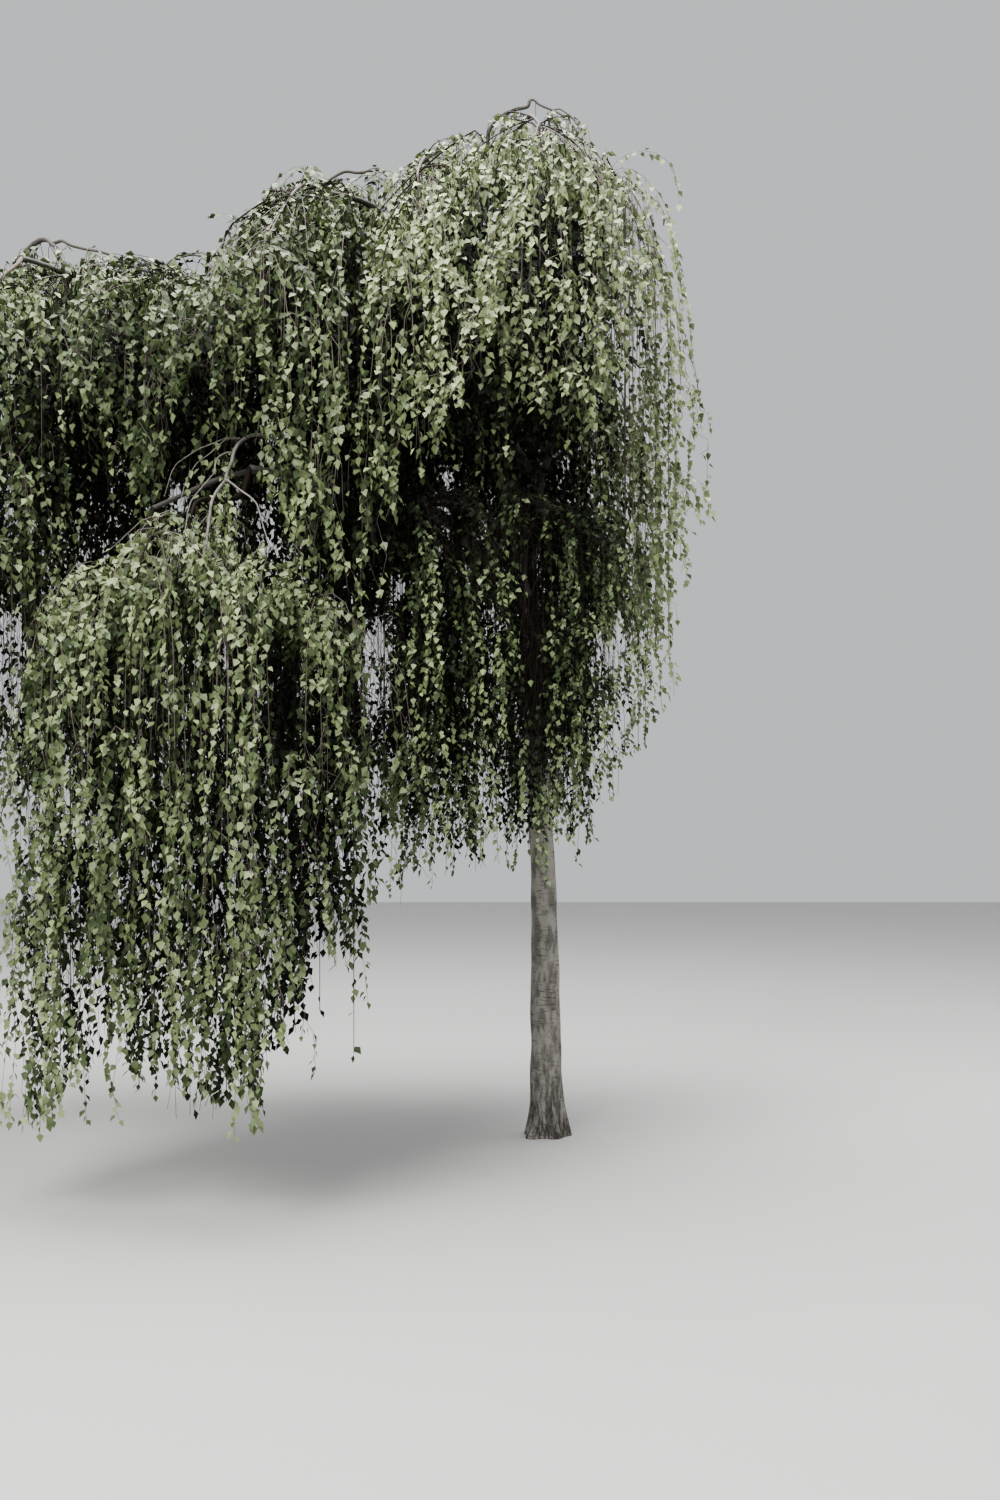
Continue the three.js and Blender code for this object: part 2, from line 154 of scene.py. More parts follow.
BOUGHS = {
    "leader": Bough("trunk", 1, (-0.13, -0.42, 5.33), 0.06, -0.33, 0.038, 0.015, "right_crown"),
    "right_front": Bough("leader", 0.58, None, 0.16, -0.06, 0.02, 0.011),
    "right_front_inner": Bough("leader", 0.4, None, 0.26, 0.06, 0.02, 0.011),
    "right_side": Bough("leader", 0.3, None, 0.2, -0.16, 0.022, 0.011),
    "right_back_side": Bough("trunk", 0.94, None, 0.33, -0.09, 0.025, 0.012),
    "right_back": Bough("trunk", 0.9, None, 0.46, 0.06, 0.026, 0.012),
    "back_crown": Bough("right_back", 0.35, None, 0.12, 0.09, 0.018, 0.01),
    "middle": Bough("trunk", 0.95, (-1.09, -0.43, 5.04), 0.42, -0.16, 0.032, 0.013, "middle_crown"),
    "middle_front": Bough("middle", 0.6, None, 0.11, 0.06, 0.019, 0.011),
    "middle_left": Bough("middle", 0.72, None, 0.15, -0.08, 0.019, 0.011),
    "back": Bough("trunk", 0.8, (-1.35, 0.56, 4.33), 0.33, -0.06, 0.03, 0.019, "back_left"),
    "middle_back": Bough("back", 0.6, None, 0.16, -0.06, 0.019, 0.011),
    "left": Bough("trunk", 0.87, (-3.06, -0.18, 4.38), 0.42, -0.12, 0.036, 0.021),
    "left_arch": Bough("left", 0.98, (-2.56, -0.42, 4.7), 0.3, 0.12, 0.018, 0.009, "left_crown"),
    "left_front": Bough("left", 0.8, None, 0.16, 0.06, 0.019, 0.011),
    "far_left_front": Bough("left", 0.9, None, 0.14, 0.06, 0.018, 0.011),
    "far_left": Bough("left", 1, None, 0.06, 0.02, 0.019, 0.011),
    "left_back": Bough("left", 0.84, None, 0.15, -0.06, 0.018, 0.011),
    "low_right": Bough("trunk", 0.91, None, 0.09, 0.04, 0.02, 0.011),
    "low_middle": Bough("trunk", 0.88, None, 0.14, 0.06, 0.021, 0.011),
    "low": Bough("trunk", 0.83, (-1.42, -1.18, 3.36), 0.26, 0.06, 0.027, 0.015, "low_front"),
    "low_front_right": Bough("low", 0.7, None, 0.06, 0.04, 0.015, 0.01),
    "low_front_left": Bough("low", 0.85, None, 0.09, -0.06, 0.015, 0.01),
}


class Crest(NamedTuple):
    """A bare bough that shows on a mass: its course in points, its radii, and the limb that it leaves
    with the share along it. Without a limb it starts on another bare bough."""

    course: list
    foot: float
    end: float
    limb: str = ""
    at: float = 0


CRESTS = {
    "right_crown": [
        Crest([
            (-0.311, -0.43, 5.3), (-0.29, -0.44, 5.327), (-0.255, -0.45, 5.359), (-0.211, -0.46, 5.383),
            (-0.167, -0.47, 5.394), (-0.105, -0.48, 5.4), (-0.096, -0.48, 5.437),
        ], 0.0135, 0.0095, "leader", 0.8),
        Crest([
            (-0.098, -0.48, 5.434), (-0.079, -0.48, 5.442), (-0.053, -0.48, 5.415), (-0.026, -0.49, 5.397),
            (0.027, -0.5, 5.371), (0.089, -0.52, 5.327), (0.133, -0.53, 5.265), (0.18, -0.54, 5.17),
            (0.22, -0.55, 5.0),
        ], 0.0072, 0.0028),
        Crest([
            (0.01, -0.49, 5.38), (0.06, -0.46, 5.4), (0.12, -0.44, 5.37), (0.17, -0.43, 5.3),
            (0.2, -0.42, 5.18),
        ], 0.004, 0.002),
    ],
    "middle_crown": [
        Crest([
            (-0.8, -0.43, 5.03), (-0.85, -0.43, 5.085), (-0.88, -0.43, 5.105), (-0.955, -0.43, 5.085),
            (-1.0, -0.43, 5.083), (-1.05, -0.43, 5.095), (-1.1, -0.43, 5.07), (-1.2, -0.44, 5.0),
            (-1.26, -0.45, 4.86),
        ], 0.0115, 0.0065, "middle", 0.7),
    ],
    "middle_left": [
        Crest([
            (-1.68, -0.6, 4.555), (-1.744, -0.6, 4.58), (-1.8, -0.6, 4.588), (-1.845, -0.6, 4.585),
            (-1.917, -0.6, 4.56), (-1.98, -0.61, 4.5), (-2.02, -0.62, 4.4),
        ], 0.006, 0.003, "middle_left", 0.8),
    ],
    "left_crown": [
        Crest([
            (-2.521, -0.43, 4.733), (-2.48, -0.43, 4.707), (-2.402, -0.43, 4.687), (-2.329, -0.43, 4.676),
            (-2.235, -0.43, 4.645), (-2.17, -0.44, 4.58), (-2.13, -0.45, 4.45),
        ], 0.0098, 0.004, "left_arch", 0.85),
    ],
    "low_front_left": [
        Crest([
            (-1.45, -1.245, 3.48), (-1.504, -1.27, 3.481), (-1.565, -1.31, 3.44), (-1.618, -1.35, 3.406),
            (-1.668, -1.4, 3.355), (-1.704, -1.44, 3.314), (-1.718, -1.48, 3.267), (-1.74, -1.52, 3.15),
        ], 0.0028, 0.0015),
        Crest([
            (-1.452, -1.255, 3.475), (-1.51, -1.28, 3.471), (-1.574, -1.34, 3.386), (-1.623, -1.4, 3.325),
            (-1.642, -1.45, 3.267), (-1.654, -1.5, 3.21), (-1.67, -1.54, 3.1),
        ], 0.0028, 0.0015),
        Crest([
            (-1.468, -1.34, 3.386), (-1.488, -1.37, 3.385), (-1.523, -1.41, 3.352), (-1.53, -1.45, 3.312),
            (-1.522, -1.49, 3.264), (-1.549, -1.54, 3.207), (-1.583, -1.59, 3.144), (-1.601, -1.63, 3.098),
            (-1.605, -1.68, 3.036), (-1.602, -1.72, 2.969), (-1.612, -1.76, 2.889), (-1.618, -1.8, 2.796),
        ], 0.0038, 0.002),
    ],
    "low_front": [
        Crest([
            (-1.31, -1.18, 3.5), (-1.385, -1.2, 3.516), (-1.428, -1.22, 3.492), (-1.458, -1.27, 3.451),
            (-1.468, -1.34, 3.386), (-1.461, -1.42, 3.32), (-1.468, -1.5, 3.262), (-1.458, -1.57, 3.207),
            (-1.478, -1.64, 3.154), (-1.494, -1.71, 3.086), (-1.487, -1.78, 3.013), (-1.486, -1.84, 2.915),
            (-1.484, -1.88, 2.837),
        ], 0.0105, 0.005, "low", 0.7),
        Crest([
            (-1.458, -1.57, 3.21), (-1.429, -1.59, 3.188), (-1.387, -1.62, 3.151), (-1.337, -1.66, 3.113),
            (-1.301, -1.7, 3.074), (-1.279, -1.75, 3.02), (-1.256, -1.8, 2.952), (-1.236, -1.84, 2.901),
            (-1.215, -1.88, 2.851),
        ], 0.0046, 0.002),
    ],
}

# Fine leafy twigs that stray from the crown's outline.
STRAYS = {
    "right_crown": [
        [(0.28, -0.45, 5.02), (0.34, -0.45, 5.14), (0.39, -0.45, 5.175), (0.46, -0.45, 5.19),
         (0.53, -0.45, 5.2), (0.6, -0.45, 5.175), (0.655, -0.45, 5.08), (0.68, -0.45, 4.92)],
        [(0.3, -0.45, 5.06), (0.4, -0.46, 5.13), (0.46, -0.46, 5.08), (0.53, -0.46, 5.02),
         (0.6, -0.46, 4.93), (0.64, -0.46, 4.8), (0.65, -0.46, 4.6)],
        [(0.26, -0.5, 4.98), (0.36, -0.52, 5.08), (0.44, -0.54, 5.06), (0.5, -0.55, 4.94),
         (0.53, -0.56, 4.74), (0.54, -0.56, 4.5)],
        [(0.3, -0.4, 4.98), (0.42, -0.38, 5.05), (0.54, -0.37, 5.02), (0.63, -0.36, 4.88),
         (0.69, -0.36, 4.64), (0.71, -0.36, 4.4)],
        [(0.3, -0.56, 4.9), (0.42, -0.6, 4.96), (0.55, -0.63, 4.88), (0.62, -0.64, 4.7),
         (0.65, -0.65, 4.42), (0.66, -0.65, 4.2)],
        [(0.4, -0.3, 4.86), (0.56, -0.27, 4.88), (0.68, -0.25, 4.74), (0.75, -0.24, 4.5),
         (0.77, -0.24, 4.16)],
    ],
    "middle_crown": [
        [(-1.0, -0.43, 5.04), (-0.93, -0.45, 5.1), (-0.86, -0.47, 5.1), (-0.8, -0.49, 5.03),
         (-0.77, -0.5, 4.85)],
        [(-0.95, -0.46, 5.02), (-0.87, -0.5, 5.07), (-0.79, -0.53, 5.05), (-0.73, -0.55, 4.96),
         (-0.7, -0.56, 4.75)],
        [(-0.9, -0.4, 5.0), (-0.8, -0.42, 5.06), (-0.73, -0.44, 5.04), (-0.67, -0.46, 4.95),
         (-0.64, -0.47, 4.75)],
        [(-0.93, -0.52, 4.97), (-0.84, -0.57, 5.0), (-0.76, -0.6, 4.97), (-0.7, -0.62, 4.86),
         (-0.68, -0.63, 4.6)],
        [(-1.08, -0.47, 4.93), (-1.0, -0.49, 5.03), (-0.93, -0.5, 5.05), (-0.86, -0.52, 5.03),
         (-0.8, -0.53, 4.95), (-0.78, -0.54, 4.8)],
        [(-1.02, -0.43, 4.95), (-0.94, -0.43, 5.04), (-0.86, -0.43, 5.06), (-0.78, -0.44, 5.03),
         (-0.73, -0.45, 4.93), (-0.71, -0.46, 4.75)],
        [(-1.5, -0.43, 4.9), (-1.42, -0.43, 5.05), (-1.33, -0.43, 5.12), (-1.24, -0.43, 5.13),
         (-1.16, -0.44, 5.08), (-1.13, -0.45, 4.9)],
        [(-1.4, -0.5, 4.95), (-1.3, -0.52, 5.07), (-1.2, -0.54, 5.07), (-1.12, -0.56, 5.0),
         (-1.1, -0.57, 4.8)],
    ],
    "middle_left": [
        [(-1.6, -0.56, 4.5), (-1.68, -0.57, 4.59), (-1.78, -0.58, 4.61), (-1.88, -0.6, 4.6),
         (-1.97, -0.62, 4.52), (-2.02, -0.63, 4.36)],
        [(-1.58, -0.62, 4.48), (-1.66, -0.64, 4.56), (-1.76, -0.66, 4.59), (-1.87, -0.67, 4.56),
         (-1.95, -0.68, 4.47), (-1.99, -0.68, 4.3)],
        [(-1.64, -0.7, 4.44), (-1.74, -0.72, 4.54), (-1.84, -0.74, 4.55), (-1.93, -0.75, 4.46),
         (-1.97, -0.76, 4.3)],
        [(-1.52, -0.5, 4.5), (-1.6, -0.52, 4.62), (-1.67, -0.54, 4.63), (-1.73, -0.56, 4.56),
         (-1.76, -0.57, 4.4)],
        [(-1.55, -0.64, 4.44), (-1.62, -0.65, 4.58), (-1.7, -0.66, 4.6), (-1.77, -0.67, 4.54),
         (-1.8, -0.68, 4.36)],
        [(-1.66, -0.5, 4.44), (-1.75, -0.52, 4.58), (-1.85, -0.53, 4.6), (-1.94, -0.54, 4.53),
         (-1.98, -0.55, 4.3)],
        [(-1.52, -0.4, 4.72), (-1.6, -0.4, 4.87), (-1.66, -0.4, 4.885), (-1.74, -0.4, 4.885),
         (-1.785, -0.4, 4.865)],
        [(-1.72, -0.4, 4.6), (-1.7, -0.4, 4.75), (-1.65, -0.4, 4.84), (-1.58, -0.4, 4.88),
         (-1.5, -0.4, 4.9)],
    ],
}


class Habit(NamedTuple):
    """How a mass differs from the rest: how far its arms and then its leafy twigs lie below the
    surface of its mound, so that leaves cover the arms and bare boughs stand clear of both; how many
    more hanging twigs it has; how much painted shade darkens its sprays, all of them and those near
    its top; how much higher its lower edge is; and how far its twigs hang below it inside the crown."""

    arms_lower: float = 0.05
    lower: float = 0.01
    denser: float = 1
    shaded: float = 0
    top_shade: float = -0.14
    lifted: float = 0
    inner: float = 0


HABITS = {
    "right_crown": Habit(0.2, 0.11, inner=0.85),
    "right_back": Habit(lifted=0.35),
    "back_crown": Habit(inner=0.7),
    "middle_crown": Habit(0.14, -0.03, shaded=0.1, top_shade=0.14, inner=0.7),
    "middle_front": Habit(shaded=0.1, top_shade=0.18),
    "middle_left": Habit(lower=-0.05, shaded=0.12, top_shade=0.19),
    "middle_back": Habit(lifted=0.45),
    "left_crown": Habit(0.24, 0.03, shaded=0.1, top_shade=0.14, inner=0.6),
    "left_front": Habit(0.24, 0.03, top_shade=0.08, lifted=0.35),
    "far_left_front": Habit(0.2, 0.02, top_shade=0.0, lifted=0.4),
    "far_left": Habit(lifted=0.35),
    "left_back": Habit(lifted=0.5),
    "back_left": Habit(lifted=0.45),
    "low_right": Habit(0.2, 0.0, 1.6, 0.26),
    "low_middle": Habit(0.2, 0.0, 1.6, 0.26),
    "low_front_right": Habit(0.5, 0.3, 1.2, 0.1),
    "low_front": Habit(0.4, 0.23, 1.2, 0.1),
    "low_front_left": Habit(0.46, 0.31, 1.2, 0.1),
}
PLAIN_HABIT = Habit()

# How large the leaves of two mounds are, as a share of the rest.
SMALLER = {"shelf": 0.76, "low_shelf": 0.95}

# Bare limbs that hanging twigs leave: the limb, and the shares along it between which they leave.
BARE = {"left_crown": ("left_arch", 0.45, 1.0)}

# Where the tree is looked at from the front.
EYE = Vector((-0.25, -8.0, 1.62))


class Gap(NamedTuple):
    """A gap in the crown as seen from the front: where the line of sight meets the plane of the
    trunk, half the gap's width and height there, the share of the leaves left out, and how far back
    they are left out."""

    x: float
    z: float
    width: float
    height: float
    share: float
    back: float = 9


# Sky shows through all but the last one, which stays dark because the crown's back closes it.
GAPS = [
    Gap(-0.93, 2.56, 0.09, 0.31, 0.84), Gap(-0.815, 3.02, 0.055, 0.13, 0.75),
    Gap(-2.96, 2.62, 0.1, 0.36, 0.8), Gap(-1.742, 2.59, 0.024, 0.15, 0.94),
    Gap(-1.567, 2.4, 0.024, 0.1, 0.94), Gap(-0.535, 3.46, 0.11, 0.27, 0.5),
    Gap(-0.277, 2.85, 0.1, 0.08, 0.6), Gap(0.33, 2.66, 0.11, 0.12, 0.8),
    Gap(-2.0, 3.53, 0.045, 0.085, 0.85), Gap(-1.66, 1.55, 0.09, 0.2, 0.6),
    Gap(-0.075, 2.85, 0.075, 0.8, 0.97, -0.1),
]

# Where the front curtains hang lower than the rest of them: the place along X, the reach to both
# sides and the drop.
FRONT = ("middle_left", "middle_front", "right_front_inner")
DRAPES = [(-1.93, 0.13, 0.35), (-0.98, 0.34, 1.0)]

# Boughs: where their arch crests, how they enter their masses, and how soon their kinks begin.
CREST = 0.8
ENTRY_INSET = 0.26
ENTRY_BELOW = 0.13
KINKS_BEGIN = 6

# Stems and arms of the masses: how far they lead out, arch over and bend, and where arms branch off.
STEM_LEAD = 0.16
STEM_OVER = 0.3
STEM_BEND = 0.42
BRANCH_FROM = 0.35
BRANCH_TO = 0.85
ARM_LEAD = 0.095
ARM_OVER = 0.3
ARM_BEND = 0.38
ARM_ENDS_OVER = 0.2
MORE_ARMS = 6
RAGGED = 0.14
SPRAY_LENGTH = 0.62
SEED = 11

# Hanging places: how far a mass counts over its mound, their reach past its spread, their luck, the
# ends of the crown on the left, the thin right edge of the crown, the clumps that the hanging twigs
# stand in, and the least height of a mass where they hang.
CEILING = 0.04
PAST_SPREAD = 0.3
PLACE_LUCK = 0.05
LEFT_END = -4.28
LOW_LEFT_END = -2.43
OPEN_FROM = 0.15
OPEN_OVER = 0.3
OPEN_SHARE = 0.45
CLUMP_WAVES = 36
BETWEEN_CLUMPS = -0.22
BETWEEN_SHARE = 0.75
SHORTEST_DROP = 0.35

# Hanging twigs: how far a bare bough is set back against arms, the luck in the choice of an arm, the
# share that leave high, the ways that they leave, and their sway. Sizes in brackets are the least and
# what luck adds.
BARE_SET_BACK = 0.12
ARM_LUCK = 0.45
SHELF_ARM_LUCK = 0.7
HIGH_SHARE = 0.7
HIGH_FROM = 0.15
HIGH_SHORT = 0.2
LOW_OVER = 0.25
ALONG_BARE = 0.04
FEET_LUCK = 0.5
FEET_POWER = 1.8
LEAST_DROP = 0.25
HIGH_RISE = 0.9
LOW_RISE = 0.1
SAG_LUCK = 0.08
LOW_TIER_SAG = 0.22
BEND = (0.3, 0.6)
SHELF_BEND = (0.45, 0.6)
STRAND_LEAD = 0.06
STRAND_OVER = 0.14
SWAY = 0.1

# Side twigs: their reach and their fall, and how high they arch.
SIDE_REACH = (0.03, 0.09)
SIDE_FALL = (0.1, 0.28)
SIDE_ARCH = 0.02

# Lengths without leaves at the start of twigs, for arms, twigs on arms and on bare boughs, and the
# rest; and how far inside the crown, from 0 to 1, twigs take the dark bark of painted shade.
BARE_ARM = 0.16
BARE_LOW_ARM = 0.04
BARE_STRAND = 0.04
BARE_ON_BOUGH = 0.07
BARE_SIDE = 0.03
SHADE_FROM = 0.4

# Leaves left out: in short lengths of a twig, in soft waves through the mass, over the low bare
# boughs, and with how ragged an edge round the gaps.
BARE_LENGTH = 0.11
BARE_LENGTH_SHARE = 0.12
LOOSE_WAVES = 20
LOOSE_UNDER = -0.3
LOOSE_SHARE = 0.65
CLEAR_OF_CRESTS = 0.024
CLEAR_SHARE = 0.85
GAP_WAVES = 60
GAP_RAGGED = 0.5

# How far inside the crown a twig hangs: how far outward and to the side twigs count as before it, and
# how many of them make it 1.
SHADE_REACH = 0.6
SHADE_ASIDE = 0.12
SHADE_TWIGS = 12

# Painted shade on leaves: curtains of it, luck by lengths of a twig, and the tints that it gives, as
# the first one and how many more of them a shade of 1 is.
CURTAIN_WAVES = 13
CURTAIN_SHADE = 0.14
SPRAY = 0.1
SPRAY_LUCK = 0.55
FIRST_TINT = 1.3
TINTS_TO_SHADE = 2.9

# Leaves: how they turn, droop and roll, their size, how their tips bend back, and up to what shade they
# have all corners.
LEAF_TURN = 3.8
LEAF_DROOP = (0.12, 0.9)
LEVEL_DROOP = 0.7
LEAF_ROLL = 1.8
LEAF_SIZE = (0.62, 0.45)
TIP_BACK = 0.12
FULL_UNDER = 0.2

# Steps of the lines, and sides of the tubes round them.
TRUNK_STEPS = 200
BOUGH_STEPS = 72
CREST_STEPS = 48
STEM_STEPS = 16
ARM_STEPS = 12
DROP_STEPS = 8
STRAND_STEPS = 5
STRAND_DROP = 4
SIDE_STEPS = 2
TRUNK_SIDES = 56
BOUGH_SIDES = 16
CREST_SIDES = 8
TWIG_SIDES = {"stem": 8, "arms": 5, "strands": 3, "sides": 3}

# Keys of arms and strays in the draws of their mass.
ARM_KEY = 900
STRAY_KEY = 950

# Shares of a twig's height, from its top down, where it is looked up how far inside the crown it is.
LOOKED_AT = (0.15, 0.5, 0.85)

# Relief of bark: its fine and its coarse waves, and its largest share of a radius. Root lobes: their
# size, their number round the trunk, and their turn.
FINE_WAVES = 60
COARSE_WAVES = 17
RELIEF_LIMIT = 0.25
LOBES = ((0.45, 5, 0.8), (0.3, 3, 2.1))

UP = np.array([0.0, 0.0, 1.0])
RIGHT = np.array([1.0, 0.0, 0.0])
GOLDEN_ANGLE = math.pi * (3 - math.sqrt(5))
TURN = 2 * math.pi


# Sizes and colours that a user would change

def length(name, description, default):
    return bpy.props.FloatProperty(name=name, description=description, default=default, unit="LENGTH")


def colour(name, description, default):
    return bpy.props.FloatVectorProperty(
        name=name, description=description, default=default, subtype="COLOR", size=3, min=0, max=1,
    )


class BirchBarkSettings(bpy.types.PropertyGroup):
    kink: length("Kink", "How far a bough steps to the side between its kinks", 0.02)
    kink_spacing: length("Kink spacing", "Length of a bough between two kinks", 0.24)
    collar: length("Collar", "How far a bough swells where it leaves its parent", 0.012)
    relief: length("Relief", "Height of the unevenness of the trunk", 0.004)
    pale: colour("Pale bark", "Colour of the smooth bark", (0.33, 0.31, 0.275))
    grey: colour("Grey bark", "Colour of the weathered bark", (0.15, 0.137, 0.12))
    dark: colour("Dark bark", "Colour of pores and fissures", (0.045, 0.04, 0.035))
    # Painted shade: the bough bark and its weathered patches are a darkened copy of the pale bough bark of
    # the low bare boughs.
    bough: colour("Bough bark", "Colour of the smooth bark of the boughs", (0.08, 0.07, 0.06))
    worn_in_shade: colour("Worn bough bark", "Colour of weathered bark on the boughs", (0.042, 0.036, 0.03))
    lit: colour("Pale bough bark", "Colour of the smooth bark of the low bare boughs", (0.185, 0.165, 0.145))
    twig: colour("Twig bark", "Colour of the young twigs", (0.12, 0.09, 0.07))
    # Painted shade: the near-black bark of the twigs that hang inside the crown.
    shaded: colour("Shaded twigs", "Colour of the twigs inside the crown", (0.016, 0.012, 0.009))


class BirchTwigSettings(bpy.types.PropertyGroup):
    density: bpy.props.FloatProperty(
        name="Density", description="Hanging twigs on a square metre of a crown two metres deep",
        default=225,
    )
    arm_foot: length("Arm foot", "Radius of an arm of a mass where it leaves the stem", 0.0055)
    arm_end: length("Arm end", "Radius of an arm of a mass at its tip", 0.0018)
    foot: length("Twig foot", "Radius of a hanging twig at its start", 0.0021)
    end: length("Twig end", "Radius of a hanging twig at its tip", 0.0011)
    side_spacing: length("Side twig spacing", "Length of a hanging twig between two side twigs", 0.36)


class BirchLeafSettings(bpy.types.PropertyGroup):
    length: length("Length", "Length of a leaf with its stalk", 0.056)
    width: length("Width", "Width of a leaf", 0.037)
    spacing: length("Spacing", "Distance between two leaves along a twig", 0.0245)
    fold: bpy.props.FloatProperty(
        name="Fold", description="How far the sides of a leaf are lifted, as a share of its width",
        default=0.1,
    )
    # The five tints are painted light and shade, from painted sunlight on the crown's surface to painted
    # shade inside it.
    tint_1: colour("Sunlit", "Colour of the lightest leaves", (0.4, 0.46, 0.235))
    tint_2: colour("Bright", "Colour of bright leaves", (0.215, 0.265, 0.112))
    tint_3: colour("Middle", "Colour of most leaves", (0.105, 0.142, 0.054))
    tint_4: colour("Deep", "Colour of leaves in half shade", (0.03, 0.045, 0.017))
    tint_5: colour("Shaded", "Colour of leaves inside the crown", (0.006, 0.009, 0.004))


class BirchStageSettings(bpy.types.PropertyGroup):
    floor: colour("Floor", "Colour of the floor", (0.55, 0.55, 0.53))
    sky: colour("Sky", "Colour of the soft light from all round", (0.86, 0.88, 0.9))
    sky_strength: bpy.props.FloatProperty(
        name="Sky strength", description="Light from all round", default=0.8,
    )
    key_power: bpy.props.FloatProperty(
        name="Key power", description="Power of the large light over the front", default=2000, unit="POWER",
    )
    top_power: bpy.props.FloatProperty(
        name="Top power", description="Power of the large light over the crown", default=3000, unit="POWER",
    )
    eye_height: length("Eye height", "Height of the camera over the ground", EYE.z)
    eye_distance: length("Eye distance", "Distance of the camera from the trunk", -EYE.y)
    eye_side: length("Eye side", "How far the camera stands to the right of the trunk", EYE.x)
    eye_shift: bpy.props.FloatProperty(
        name="Eye shift", description="How far the level camera's picture is moved up, in heights",
        default=0.06,
    )


# The rule of growth

def chance(a, b, c=0):
    """A number from 0 to 1 that is always the same for the same three numbers: the part after the
    point of a large sine. The last number given tells apart the draws of one twig or leaf."""
    turn = np.asarray(a) * 12.9898 + np.asarray(b) * 78.233 + np.asarray(c) * 37.719 + SEED
    s = np.sin(turn) * 43758.5453
    return s - np.floor(s)


def some(size, luck):
    """The least of a size plus what luck, from 0 to 1, adds."""
    least, more = size
    return least + more * luck


def smooth(t):
    """3 u squared less 2 u cubed, where u is t held between 0 and 1."""
    u = np.clip(t, 0, 1)
    return u * u * (3 - 2 * u)


def unit(vectors):
    return vectors / np.maximum(np.linalg.norm(vectors, axis=-1, keepdims=True), 1e-9)


def mound_top(mound, x, y):
    """The mound's top less its sink times the distance from its middle, in reaches, to its power."""
    across = (x - mound.x) / np.where(x < mound.x, mound.left, mound.right)
    deep = (y - mound.y) / np.where(y < mound.y, mound.front, mound.back)
    return mound.top - mound.sink * np.hypot(across, deep) ** mound.power


def point_at(line, share):
    """Points at shares of the steps of a line."""
    whole = np.asarray(share, float) * (len(line) - 1)
    i = np.minimum(whole.astype(int), len(line) - 2)
    part = (whole - i)[..., None]
    return line[i] * (1 - part) + line[i + 1] * part


def end_direction(line):
    return unit(line[-1] - line[-2])


def carried_mass(name):
    return BOUGHS[name].mass or (name if name in MASSES else "")


def trunk_line(steps):
    """Straight up, with a smooth lean between two heights, and its steps closer at the foot."""
    height = np.linspace(0, 1, steps + 1) ** TRUNK["crowding"] * TRUNK["height"]
    leaning = smooth((height - TRUNK["lean_starts"]) / (TRUNK["lean_ends"] - TRUNK["lean_starts"]))
    return np.stack([TRUNK["lean"] * leaning, 0 * height, height], 1)


def trunk_radii(line):
    """An even taper and a root flare that dies away with height."""
    height = line[:, 2]
    taper = TRUNK["foot"] + (TRUNK["top"] - TRUNK["foot"]) * height / TRUNK["height"]
    return taper + TRUNK["flare"] * np.exp(-height / TRUNK["flare_height"])


def bough_tip(name, start):
    """The given tip, or a place just under the top of the bough's mass, on the side that it enters."""
    bough = BOUGHS[name]
    if bough.tip:
        return np.array(bough.tip)
    mass = MASSES[carried_mass(name)]
    x = mass.x + (start[0] - mass.x) * ENTRY_INSET
    y = mass.y + (start[1] - mass.y) * ENTRY_INSET
    return np.array([x, y, mound_top(MOUNDS[mass.mound], x, y) - ENTRY_BELOW])


def bough_line(name, start, steps, kink, kink_spacing):
    """A straight line to the tip, raised by a half wave that crests early, bowed by another and
    stepped to the side between seeded kinks, which die away at both ends."""
    bough = BOUGHS[name]
    tip = bough_tip(name, start)
    t = np.linspace(0, 1, steps + 1)[:, None]
    line = start + (tip - start) * t
    line = line + UP * bough.arch * np.sin(math.pi * t ** CREST)
    line = line + unit(np.cross(UP, tip - start)) * bough.bow * np.sin(math.pi * t)
    size = np.linalg.norm(tip - start)
    corners = max(2, round(size / kink_spacing))
    number = list(BOUGHS).index(name)
    side = np.stack([chance(number, np.arange(corners + 1), 50 + axis) - 0.5 for axis in range(3)], 1)
    steps_at = np.linspace(0, 1, corners + 1)
    offset = np.stack([np.interp(t[:, 0], steps_at, side[:, axis]) for axis in range(3)], 1)
    held = smooth(KINKS_BEGIN * t) * smooth(KINKS_BEGIN * (1 - t))
    return line + 2 * kink * min(1, size) * held * offset


def grow_limbs(settings):
    """The middle lines and radii of the trunk and all boughs, parents before children."""
    line = trunk_line(TRUNK_STEPS)
    limbs = {"trunk": (line, trunk_radii(line))}
    for name, bough in BOUGHS.items():
        start = point_at(limbs[bough.parent][0], bough.at)
        line = bough_line(name, start, BOUGH_STEPS, settings.kink, settings.kink_spacing)
        t = np.linspace(0, 1, BOUGH_STEPS + 1)
        run = np.linalg.norm(line - start, axis=1)
        radii = bough.foot + (bough.end - bough.foot) * t
        if bough.at < 1:
            radii = radii + settings.collar * np.exp(-run / (2 * bough.foot))
        limbs[name] = (line, radii)
    return limbs


# Meshes from whole arrays

